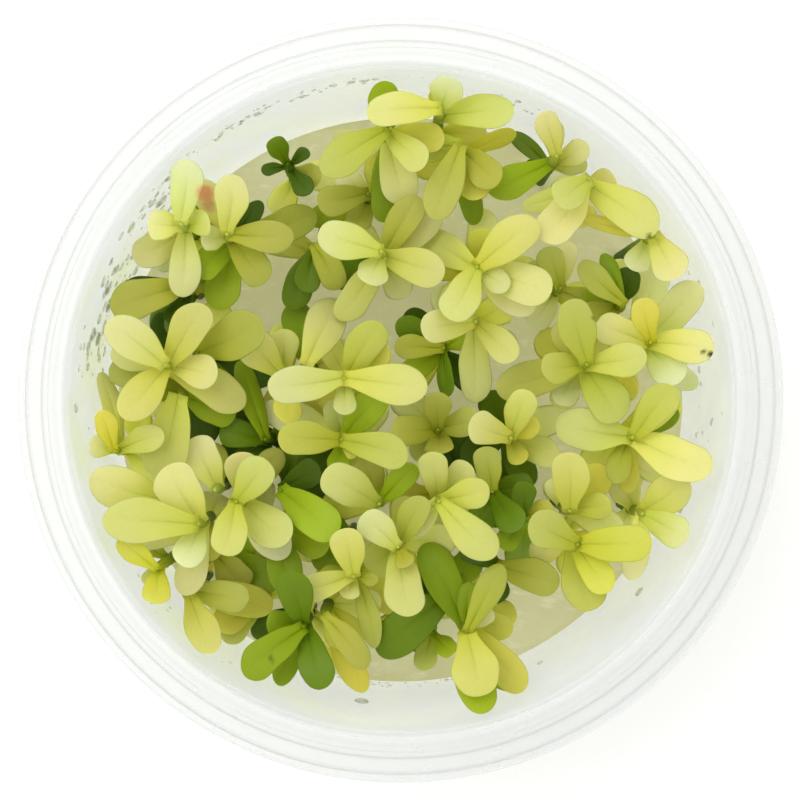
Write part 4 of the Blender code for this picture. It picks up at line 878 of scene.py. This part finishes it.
def stem(shoot):
    """Points, faces, shading places and colours of a stem, swollen where its leaves stand."""
    bands = np.array(sorted({placed.band for placed in shoot.leaves}))
    nodes = shoot.height - NODE_STEP * (bands + 0.5)
    top = shoot.height + STEM_END
    heights = np.append(np.arange(GEL_TOP - STEM_IN_GEL, top, STEM_STEP), top)
    swell = np.exp(-((heights[:, None] - nodes[None]) / NODE_LENGTH) ** 2).max(axis=1)
    slim = np.clip((top - heights) / TAPER, 0, 1)
    radii = (STEM_RADIUS - STEM_SLIMMER) * (TOP_SHARE + (1 - TOP_SHARE) * slim) + NODE_SWELL * swell * slim
    angles = 2 * math.pi * np.arange(STEM_SIDES) / STEM_SIDES
    points = []
    for height, radius in zip(heights, radii):
        x, y = shoot.centre(height)
        points += [(x + radius * math.cos(angle), y + radius * math.sin(angle), height) for angle in angles]
    last = (len(heights) - 1) * STEM_SIDES
    faces = ring_faces(0, len(heights), STEM_SIDES)
    faces.append(tuple(range(STEM_SIDES - 1, -1, -1)))
    faces.append(tuple(range(last, last + STEM_SIDES)))
    share = np.clip((heights - GEL_TOP) / (top - GEL_TOP), 0, 1) ** STEM_FADE
    high = np.array(shoot.leaves[0].tone) * STEM_HIGH
    tones = STEM_LOW + share[:, None] * (high - STEM_LOW)
    shade = np.tile(STEM_LEAF_PLACE, (len(points), 1))
    return np.array(points) * MM, faces, shade, np.repeat(tones, STEM_SIDES, axis=0)


def shoot_piece(shoot, number, materials):
    """One shoot as a single mesh: its stem and its leaves."""
    parts = [stem(shoot)]
    for index, placed in enumerate(shoot.leaves):
        seed = 100 * number + index
        points, faces, shade = blade(placed, seed, placed.depth < OLDER_DEPTH)
        parts.append((points, faces, shade, leaf_tones(placed, points, shade, seed)))
    offset = 0
    all_faces = []
    for points, faces, _, _ in parts:
        all_faces += [tuple(offset + i for i in face) for face in faces]
        offset += len(points)
    slot = "leaf_yellow" if shoot.name in YELLOW_SHOOTS else "leaf_pale"
    slot = "leaf_green" if shoot.name in GREEN_SHOOTS else slot
    points = np.concatenate([part[0] for part in parts])
    piece = mesh_piece("hyssop_" + shoot.name, points, all_faces, materials[slot])
    for label, column in (("leaf_place", 2), ("tone", 3)):
        values = np.concatenate([part[column] for part in parts]).astype(np.float32)
        layer = piece.data.attributes.new(label, "FLOAT_VECTOR", "POINT")
        layer.data.foreach_set("vector", values.ravel())
    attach(piece, "root")
    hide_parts("shoot_" + shoot.name)


def rounded(profile, radius):
    """A section with each corner but the first and last turned into a short curve."""
    out = [profile[0]]
    for before, corner, after in zip(profile, profile[1:], profile[2:]):
        before, corner, after = (np.array(p, float) for p in (before, corner, after))
        ends = []
        for other in (before, after):
            length = np.linalg.norm(other - corner)
            ends.append(corner + (other - corner) * min(radius, CORNER_SHARE * length) / length)
        for t in CORNER_STEPS:
            point = (1 - t) ** 2 * ends[0] + 2 * t * (1 - t) * corner + t ** 2 * ends[1]
            out.append(tuple(point))
    out.append(profile[-1])
    return out


def turned(name, profile, material, node):
    """A solid turned about the upright axis that stands for one node."""
    angles = 2 * math.pi * np.arange(SEGMENTS) / SEGMENTS
    points = [(r * MM * math.cos(a), r * MM * math.sin(a), z * MM) for r, z in profile for a in angles]
    last = (len(profile) - 1) * SEGMENTS
    faces = ring_faces(0, len(profile), SEGMENTS)
    faces.append(tuple(range(SEGMENTS - 1, -1, -1)))
    faces.append(tuple(range(last, last + SEGMENTS)))
    piece = mesh_piece(name, points, faces, material, CUP_SHARP)
    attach(piece, "root")
    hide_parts(node)


def cup_profile():
    """The cup's section, from the hollow under its floor round the outside to the floor inside."""
    under_lip = CUP_HEIGHT - WALL
    wall_out = wall_radius(0) + WALL
    return [
        (FOOT_INNER_RADIUS - EDGE_ROUND, FOOT_DEPTH),
        (FOOT_INNER_RADIUS, 0.0),
        (FOOT_OUTER_RADIUS, 0.0),
        (wall_out - EDGE_ROUND, EDGE_ROUND),
        (wall_radius(FLOOR_TOP) + WALL, FLOOR_TOP),
        (wall_radius(under_lip - EDGE_ROUND) + WALL, under_lip - EDGE_ROUND),
        (LIP_INNER_RADIUS + WALL, under_lip),
        (LIP_RADIUS - SKIRT_ROUND, under_lip),
        (LIP_RADIUS - SKIRT_ROUND, under_lip - LEDGE_DROP),
        (LEDGE_RADIUS - EDGE_ROUND, under_lip - LEDGE_DROP),
        (FLANGE_RADIUS - WALL, SKIRT_TOP - WALL),
        (FLANGE_RADIUS - WALL, SKIRT_BOTTOM),
        (FLANGE_RADIUS, SKIRT_BOTTOM),
        (FLANGE_RADIUS, SKIRT_TOP),
        (LEDGE_RADIUS, CUP_HEIGHT - LEDGE_DROP),
        (LIP_RADIUS, CUP_HEIGHT - LEDGE_DROP),
        (LIP_RADIUS, CUP_HEIGHT - EDGE_ROUND),
        (LIP_RADIUS - EDGE_ROUND, CUP_HEIGHT),
        (LIP_INNER_RADIUS, CUP_HEIGHT),
        (WALL_TOP_RADIUS, WALL_TOP),
        (wall_radius(FLOOR_TOP + FLOOR_FILLET), FLOOR_TOP + FLOOR_FILLET),
        (wall_radius(FLOOR_TOP) - FLOOR_FILLET / 3, FLOOR_TOP + FLOOR_FILLET / 3),
        (wall_radius(FLOOR_TOP) - FLOOR_FILLET, FLOOR_TOP),
    ]


def gel_piece(shoots, material):
    """The gel: a wavy top that creeps up the wall and up each stem, closed by its sides and bottom."""
    outer = wall_radius(GEL_TOP + GEL_EDGE_RISE) - GEL_GAP
    radii = outer * np.linspace(0, 1, GEL_RINGS + 1)[1:]
    angles = 2 * math.pi * np.arange(SEGMENTS) / SEGMENTS
    r, a = np.meshgrid(radii, angles, indexing="ij")
    x = r * np.cos(a)
    y = r * np.sin(a)
    wave = sum(share * np.sin(east * x + north * y + start) for share, east, north, start in GEL_WAVES)
    z = GEL_TOP + GEL_WAVE * wave * np.clip((outer - r) / GEL_CALM, 0, 1)
    z = z + GEL_EDGE_RISE * np.exp(-(outer - r) / EDGE_CREEP)
    for shoot in shoots:
        away = np.hypot(x - shoot.root[0], y - shoot.root[1])
        z = z + STEM_CREEP * np.exp(-np.clip(away - STEM_RADIUS, 0, None) / STEM_CREEP_OUT)
    points = [(0, 0, GEL_TOP)] + list(zip(x.ravel(), y.ravel(), z.ravel()))
    low = FLOOR_TOP + GEL_GAP
    for radius, height in ((wall_radius(FLOOR_TOP + FLOOR_FILLET) - GEL_GAP, low + FLOOR_FILLET),
                           (wall_radius(FLOOR_TOP) - FLOOR_FILLET, low)):
        points += [(radius * math.cos(b), radius * math.sin(b), height) for b in angles]
    rings = GEL_RINGS + 2
    last = 1 + (rings - 1) * SEGMENTS
    faces = [(0, 1 + i, 1 + (i + 1) % SEGMENTS) for i in range(SEGMENTS)]
    faces += ring_faces(1, rings, SEGMENTS, inward=True)
    faces.append(tuple(range(last + SEGMENTS - 1, last - 1, -1)))
    piece = mesh_piece("culture_gel", np.array(points) * MM, faces, material, GEL_SHARP)
    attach(piece, "root")
    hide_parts("gel")


def drop(points, faces, bearing, height, wide, tall):
    """One drop on the wall: a low dome, oval along the wall, closed by its flat foot."""
    start = len(points)
    thick = DROP_THICK * math.sqrt(wide)
    middle = math.radians(bearing)
    for rise in DROP_RISES:
        share = math.sqrt(1 - rise ** 2)
        for side in range(DROP_SIDES):
            angle = 2 * math.pi * side / DROP_SIDES
            level = height + 0.5 * tall * share * math.sin(angle)
            radius = wall_radius(level) - DROP_GAP - thick * rise
            turn = middle + 0.5 * wide * share * math.cos(angle) / wall_radius(height)
            points.append((radius * math.cos(turn), radius * math.sin(turn), level))
    radius = wall_radius(height) - DROP_GAP - thick
    points.append((radius * math.cos(middle), radius * math.sin(middle), height))
    last = start + (len(DROP_RISES) - 1) * DROP_SIDES
    faces += ring_faces(start, len(DROP_RISES), DROP_SIDES, inward=True)
    faces += [(last + i, len(points) - 1, last + (i + 1) % DROP_SIDES) for i in range(DROP_SIDES)]
    faces.append(tuple(start + i for i in range(DROP_SIDES)))


def condensation(material):
    """The drops on the inside of the wall, as one piece."""
    draw = np.random.default_rng(DROP_SEED)
    points = []
    faces = []
    for start, end, low, high, small, large, count in DROP_ZONES:
        for _ in range(count):
            wide = small + (large - small) * draw.uniform() ** 2
            tall = wide * draw.uniform(*DROP_HEIGHTS)
            bearing = draw.uniform(start, end)
            drop(points, faces, bearing, draw.uniform(low, high), wide, tall)
    for bearing, height, wide in LONE_DROPS:
        drop(points, faces, bearing, height, wide, LONE_HEIGHT * wide)
    piece = mesh_piece("condensation", np.array(points) * MM, faces, material)
    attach(piece, "root")


class Tree:
    """A material's nodes, made one after another."""

    def __init__(self, name):
        self.material = bpy.data.materials.new(name)
        self.material.use_nodes = True
        self.nodes = self.material.node_tree.nodes
        self.links = self.material.node_tree.links
        self.nodes.clear()

    def put(self, socket, value):
        """Fill an input from another node's output, or with a number or a colour."""
        if isinstance(value, bpy.types.NodeSocket):
            self.links.new(value, socket)
        else:
            socket.default_value = (*value, 1) if socket.type == "RGBA" else value

    def add(self, kind, settings=None, **inputs):
        """A node with its settings. An input goes by its name, or by an i and its number."""
        node = self.nodes.new(kind)
        for key, value in (settings or {}).items():
            setattr(node, key, value)
        for key, value in inputs.items():
            self.put(node.inputs[int(key[1:]) if key[1:].isdigit() else key.replace("_", " ")], value)
        return node

    def out(self, kind, settings=None, **inputs):
        """The first output of a node."""
        return self.add(kind, settings, **inputs).outputs[0]

    def calc(self, operation, *values, clamp=False):
        """The outcome of a Math node."""
        inputs = {"i%d" % i: value for i, value in enumerate(values)}
        return self.out("ShaderNodeMath", {"operation": operation, "use_clamp": clamp}, **inputs)

    def times(self, one, other, clamp=False):
        return self.calc("MULTIPLY", one, other, clamp=clamp)

    def plus(self, one, other, clamp=False):
        return self.calc("ADD", one, other, clamp=clamp)

    def over(self, value, level, gain):
        """How far a value is over a level, times a gain, from 0 to 1."""
        return self.times(self.calc("SUBTRACT", value, level, clamp=True), gain, clamp=True)

    def line(self, value, start, rise, clamp=False):
        """A start plus a share of a value."""
        return self.plus(start, self.times(value, rise), clamp=clamp)

    def bell(self, value, gain):
        """A bell curve: 1 where the value is 0, and less on both sides."""
        return self.calc("EXPONENT", self.times(self.calc("POWER", value, 2.0), -gain))

    def mix(self, factor, one, other, blend="MIX"):
        """One colour mixed with another."""
        settings = {"data_type": "RGBA", "blend_type": blend}
        return self.add("ShaderNodeMix", settings, i0=factor, i6=one, i7=other).outputs[2]

    def tint(self, factor, colour, other):
        """A colour multiplied by another, by a share."""
        return self.mix(factor, colour, other, "MULTIPLY")

    def noise(self, scale, detail=2.0, roughness=0.5, vector=None):
        """Noise over the object's places, or over another vector."""
        return self.out("ShaderNodeTexNoise", Vector=vector or self.place(), Scale=scale, Detail=detail,
                        Roughness=roughness)

    def place(self):
        return self.out("ShaderNodeNewGeometry")

    def attribute(self, name):
        return self.add("ShaderNodeAttribute", {"attribute_name": name}).outputs["Vector"]

    def bump(self, height, strength, distance):
        return self.out("ShaderNodeBump", Strength=strength, Distance=distance, Height=height)

    def skin(self, **inputs):
        return self.out("ShaderNodeBsdfPrincipled", **inputs)

    def blend(self, factor, one, other):
        """One shader mixed with another, as the finished material."""
        return self.finish(self.out("ShaderNodeMixShader", Fac=factor, i1=one, i2=other))

    def finish(self, shader):
        self.add("ShaderNodeOutputMaterial", Surface=shader)
        return self.material


# The leaf material, where an edge is a level and a gain, and a bump is a strength and a distance
RIB_TINT = (0.58, 0.76, 0.25)
RIB_STRENGTH = 0.5
RIB_NARROWNESS = 150.0
RIB_END = 1.3
RIB_DEPTH = -0.9
VEIN_TINT = (0.80, 0.92, 0.55)
VEIN_STRENGTH = 0.16
VEINS_ALONG = 40.0
VEIN_SLANT = -16.0
VEIN_START = 6.0
VEIN_NARROWNESS = 6.0
VEIN_DEPTH = -0.18
PATCH_TINT = (0.95, 1.0, 0.78)
PATCH_SCALE = 130.0
PATCH_EDGE = (0.42, 1.6)
SPECK_TINT = (0.92, 0.95, 0.86)
SPECK_NOISE = (420.0, 3.0)
SPECK_EDGE = (0.5, 1.2)
SPECK_DEPTH = 0.22
SPECK_ROUGHNESS = 0.14
LEAF_BUMP = (0.35, 0.0001)
LEAF_IOR = 1.42
LEAF_SHINE = 0.28
THROUGH_TINT = (1.0, 1.0, 0.62)


def leaf_material(name, roughness, through):
    """A fleshy leaf: its own tone, a darker midrib, faint side veins, mottling, and light through it."""
    tree = Tree(name)
    along, across, own = tree.add("ShaderNodeSeparateXYZ", Vector=tree.attribute("leaf_place")).outputs
    beside = tree.calc("ABSOLUTE", across)
    fade = tree.calc("SUBTRACT", 1.0, tree.times(along, RIB_END), clamp=True)
    rib = tree.times(tree.bell(beside, RIB_NARROWNESS), fade)
    slant = tree.plus(tree.times(along, VEINS_ALONG), tree.times(beside, VEIN_SLANT))
    veins = tree.calc("SINE", tree.plus(slant, tree.times(own, VEIN_START)))
    veins = tree.calc("POWER", tree.times(tree.plus(veins, 1.0), 0.5), VEIN_NARROWNESS)
    veins = tree.times(veins, tree.calc("SUBTRACT", 1.0, beside, clamp=True))
    specks = tree.noise(*SPECK_NOISE)
    colour = tree.tint(tree.times(rib, RIB_STRENGTH), tree.attribute("tone"), RIB_TINT)
    colour = tree.tint(tree.times(veins, VEIN_STRENGTH), colour, VEIN_TINT)
    colour = tree.tint(tree.over(tree.noise(PATCH_SCALE), *PATCH_EDGE), colour, PATCH_TINT)
    colour = tree.tint(tree.over(specks, *SPECK_EDGE), colour, SPECK_TINT)
    relief = tree.plus(tree.times(rib, RIB_DEPTH), tree.times(veins, VEIN_DEPTH))
    bump = tree.bump(tree.line(specks, relief, SPECK_DEPTH), *LEAF_BUMP)
    rough = tree.line(specks, roughness, SPECK_ROUGHNESS)
    skin = tree.skin(Base_Color=colour, Roughness=rough, Normal=bump, IOR=LEAF_IOR,
                     Specular_IOR_Level=LEAF_SHINE)
    glow = tree.tint(1.0, colour, THROUGH_TINT)
    back = tree.out("ShaderNodeBsdfTranslucent", Color=glow, Normal=bump)
    return tree.blend(through, skin, back)


# The gel material: its two colours, its noises as scale, detail and roughness, its pale strands, and a
# faint glow that is painted light from below
GEL_COLOURS = ((0.86, 0.86, 0.68), (0.64, 0.62, 0.38))
GEL_CLOUDS = (90.0, 4.0, 0.6)
CLOUD_GAIN = 1.3
GEL_SHREDS = (260.0, 3.0, 0.6)
GEL_ROUGHNESS = (0.12, 0.2)
STRAND_COLOUR = (0.95, 0.95, 0.88)
STRAND_NOISE = (300.0, 5.0, 0.7)
STRAND_STRETCH = (1.0, 2.6, 1.0)
STRAND_TURN = (0, 0, 0.5)
STRAND_EDGE = (0.55, 6.0)
STRAND_SHARE = 0.65
GEL_BUMP = (0.5, 0.0004)
GEL_IOR = 1.34
GEL_PAINTED_LIGHT = (0.95, 0.93, 0.60)
GEL_PAINTED_LIGHT_STRENGTH = 0.27
GEL_THROUGH = 0.45


def gel_material():
    """Set agar: cloudy, wet, with paler shreds in it, and a faint glow painted in for the light from below.
    """
    tree = Tree("set_agar")
    cloud = tree.noise(*GEL_CLOUDS)
    stretch = tree.out("ShaderNodeMapping", Vector=tree.place(), Scale=STRAND_STRETCH, Rotation=STRAND_TURN)
    strands = tree.over(tree.noise(*STRAND_NOISE, stretch), *STRAND_EDGE)
    colour = tree.mix(tree.times(cloud, CLOUD_GAIN, clamp=True), *GEL_COLOURS)
    colour = tree.mix(tree.times(strands, STRAND_SHARE), colour, STRAND_COLOUR)
    rough = tree.line(tree.noise(*GEL_SHREDS), *GEL_ROUGHNESS)
    # The emission is painted light: the gel glows as if lit from beneath
    skin = tree.skin(Base_Color=colour, Roughness=rough, Normal=tree.bump(cloud, *GEL_BUMP), IOR=GEL_IOR,
                     Emission_Color=GEL_PAINTED_LIGHT, Emission_Strength=GEL_PAINTED_LIGHT_STRENGTH)
    return tree.blend(GEL_THROUGH, skin, tree.out("ShaderNodeBsdfTranslucent", Color=colour))


# The plastic: painted shade lines round the rim at its steps, as radius, breadth and depth, and the colours
# of rim and wall
RIM_SHADE_LINES = ((46.75, 0.16, 0.8), (48.7, 0.22, 0.4), (43.6, 0.14, 0.5), (45.0, 0.3, 0.2))
SHADE_LINE_COLOUR = (0.72, 0.77, 0.80)
SHADE_LINE_THROUGH = (0.80, 0.83, 0.84)
RIM_COLOUR = (0.94, 0.945, 0.95)
WALL_COLOUR = (0.90, 0.92, 0.88)
WALL_SHARE = 0.75
WALL_OUTSIDE = 0.6
WALL_EDGE_GAIN = 3000.0
CLEAR_COLOUR = (0.955, 0.957, 0.955)
MILKINESS = (0.16, 0.14)
MILK_THROUGH = 0.65
GLOSS_SHARE = 0.8
GLOSS_IOR = 1.35
PLASTIC_IOR = 1.48
PLASTIC_ROUGHNESS = 0.22

# Scuffs that run up the wall, and a painted reflection of the plants' light in it, greener in the west
SCUFFS_AROUND = 0.045
SCUFFS_UP = 0.35
SCUFF_NOISE = (900.0, 4.0, 0.6)
SCUFF_DEPTH = 0.7
CLOUD_NOISE = (60.0, 3.0)
CLOUD_DEPTH = 1.2
BUMP_STRENGTH = (0.03, 0.22)
BUMP_DISTANCE = 0.0003
PAINTED_REFLECTION_COLOURS = ((0.97, 0.98, 0.86), (0.86, 0.91, 0.62))
PAINTED_REFLECTION_NOISE = (95.0, 2.0, 0.45)
PAINTED_REFLECTION_EDGE = (0.42, 4.0)
PAINTED_REFLECTION_SHARE = 0.8
WEST_FROM = -4.0
WEST_GAIN = -28.0


def cup_material():
    """Clear moulded plastic, slightly milky, with fine scuffs that run up the wall."""
    tree = Tree("cup_plastic")
    x, y, z = tree.add("ShaderNodeSeparateXYZ", Vector=tree.place()).outputs
    around = tree.times(tree.calc("ARCTAN2", y, x), SCUFFS_AROUND)
    scuffs = tree.out("ShaderNodeCombineXYZ", X=around, Y=tree.times(z, SCUFFS_UP), Z=0.0)
    clouds = tree.noise(*CLOUD_NOISE)
    relief = tree.times(tree.noise(*SCUFF_NOISE, scuffs), SCUFF_DEPTH)
    relief = tree.plus(relief, tree.times(clouds, CLOUD_DEPTH))
    out = tree.calc("SQRT", tree.plus(tree.calc("POWER", x, 2.0), tree.calc("POWER", y, 2.0)))
    in_wall = tree.over((WALL_TOP_RADIUS + WALL_OUTSIDE) * MM, out, WALL_EDGE_GAIN)
    bump = tree.bump(relief, tree.line(in_wall, *BUMP_STRENGTH), BUMP_DISTANCE)
    # Painted shade: darker lines at the rim's steps, in the milk and in what the clear part lets through
    shade_lines = 0.0
    for radius, breadth, depth in RIM_SHADE_LINES:
        away = tree.calc("DIVIDE", tree.calc("SUBTRACT", out, radius * MM), breadth * MM)
        shade_lines = tree.plus(shade_lines, tree.times(tree.bell(away, 1.0), depth))
    # Painted reflection: pale lime patches of the plants' light on the wall, greener in the west
    painted_reflection = tree.times(tree.over(tree.noise(*PAINTED_REFLECTION_NOISE), *PAINTED_REFLECTION_EDGE), in_wall)
    west = tree.times(tree.plus(x, -WEST_FROM * MM), WEST_GAIN, clamp=True)
    body = tree.mix(tree.times(in_wall, WALL_SHARE), RIM_COLOUR, WALL_COLOUR)
    body = tree.mix(tree.times(painted_reflection, PAINTED_REFLECTION_SHARE), body, tree.mix(west, *PAINTED_REFLECTION_COLOURS))
    body = tree.mix(shade_lines, body, SHADE_LINE_COLOUR)
    clear = tree.out("ShaderNodeBsdfTransparent", Color=tree.mix(shade_lines, CLEAR_COLOUR, SHADE_LINE_THROUGH))
    inside = tree.out("ShaderNodeBsdfTranslucent", Color=body)
    haze = tree.skin(Base_Color=body, Normal=bump, Roughness=PLASTIC_ROUGHNESS, IOR=PLASTIC_IOR)
    gloss = tree.out("ShaderNodeFresnel", IOR=GLOSS_IOR, Normal=bump)
    share = tree.line(gloss, tree.line(clouds, *MILKINESS), GLOSS_SHARE, clamp=True)
    milk = tree.out("ShaderNodeMixShader", Fac=MILK_THROUGH, i1=haze, i2=inside)
    return tree.blend(share, clear, milk)


# Water: its painted grey shade and painted bright glint, what it lets through, and how much less at its
# edge, where the painted shade shows most
DROP_SHADE_AND_GLINT = ((0.46, 0.52, 0.38), (0.97, 0.98, 0.95))
DROP_GLINT_NOISE = (900.0, 1.0)
DROP_GLINT_EDGE = (0.42, 6.0)
DROP_CLEAR = (0.97, 0.98, 0.96)
DROP_FACING = 0.45
DROP_SHARE = (0.1, 0.5)
WATER_ROUGHNESS = 0.08
WATER_IOR = 1.33


def water_material():
    """Clear water in small drops: some painted grey where they bend the light aside, some painted bright as
    a glint.
    """
    tree = Tree("wall_water")
    facing = tree.add("ShaderNodeLayerWeight", Blend=DROP_FACING).outputs["Facing"]
    # Painted light: a noise picks which drops take the painted glint and which the painted grey shade
    painted_glint = tree.over(tree.noise(*DROP_GLINT_NOISE), *DROP_GLINT_EDGE)
    clear = tree.out("ShaderNodeBsdfTransparent", Color=DROP_CLEAR)
    skin = tree.skin(Base_Color=tree.mix(painted_glint, *DROP_SHADE_AND_GLINT), Roughness=WATER_ROUGHNESS, IOR=WATER_IOR)
    return tree.blend(tree.line(facing, *DROP_SHARE, clamp=True), clear, skin)


def floor_material():
    """A pale board, lit from below as well, so that hardly a shadow lies on it."""
    tree = Tree("pale_board")
    return tree.finish(tree.skin(Base_Color=BOARD_COLOUR, Roughness=BOARD_ROUGHNESS,
                                 Emission_Color=(1, 1, 1), Emission_Strength=BOARD_GLOW))


def studio():
    """A pale board, a white room and one broad soft lamp from the upper left."""
    mesh = bpy.data.meshes.new("board")
    corners = [(-BOARD, -BOARD, 0), (BOARD, -BOARD, 0), (BOARD, BOARD, 0), (-BOARD, BOARD, 0)]
    mesh.from_pydata(corners, [], [(0, 1, 2, 3)])
    mesh.materials.append(floor_material())
    board = bpy.data.objects.new("board", mesh)
    bpy.context.scene.collection.objects.link(board)
    world = bpy.data.worlds.new("white_room")
    world.use_nodes = True
    world.node_tree.nodes["Background"].inputs["Color"].default_value = (1, 1, 1, 1)
    world.node_tree.nodes["Background"].inputs["Strength"].default_value = 1.0
    bpy.context.scene.world = world
    lamp = bpy.data.lights.new("softbox", "AREA")
    lamp.shape = "DISK"
    lamp.size = LAMP_SIZE
    lamp.energy = LAMP_POWER
    holder = bpy.data.objects.new("softbox", lamp)
    holder.location = LAMP_PLACE
    holder.rotation_euler = holder.location.to_track_quat("Z", "Y").to_euler()
    bpy.context.scene.collection.objects.link(holder)
    bpy.context.scene.view_settings.view_transform = "Standard"
    bpy.context.scene.view_settings.look = "None"


def camera():
    """The camera looks straight down into the cup."""
    data = bpy.data.cameras.new("eye")
    data.sensor_width = SENSOR
    data.lens = SCALE_PX * (EYE_HEIGHT - CUP_HEIGHT) * SENSOR / FRAME_SIZE
    data.clip_start = NEAREST_SEEN * MM
    eye = bpy.data.objects.new("eye", data)
    aside = (FRAME_SIZE / 2 - CUP_CENTRE_PX[0]) / SCALE_PX
    along = (CUP_CENTRE_PX[1] - FRAME_SIZE / 2) / SCALE_PX
    eye.location = (aside * MM, along * MM, EYE_HEIGHT * MM)
    bpy.context.scene.collection.objects.link(eye)
    bpy.context.scene.camera = eye


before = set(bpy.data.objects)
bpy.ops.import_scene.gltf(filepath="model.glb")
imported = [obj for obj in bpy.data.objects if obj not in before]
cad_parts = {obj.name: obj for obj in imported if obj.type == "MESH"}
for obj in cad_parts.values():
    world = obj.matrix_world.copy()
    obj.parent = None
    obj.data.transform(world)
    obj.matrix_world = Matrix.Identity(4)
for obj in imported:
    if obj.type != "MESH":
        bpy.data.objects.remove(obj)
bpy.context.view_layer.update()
camera()
studio()
materials = {slot: leaf_material(*finish) for slot, finish in LEAF_FINISHES.items()}
shoots = arrange()
turned("culture_cup", rounded(cup_profile(), CORNER), cup_material(), "cup")
gel_piece(shoots, gel_material())
condensation(water_material())
for number, shoot in enumerate(shoots):
    shoot_piece(shoot, number, materials)
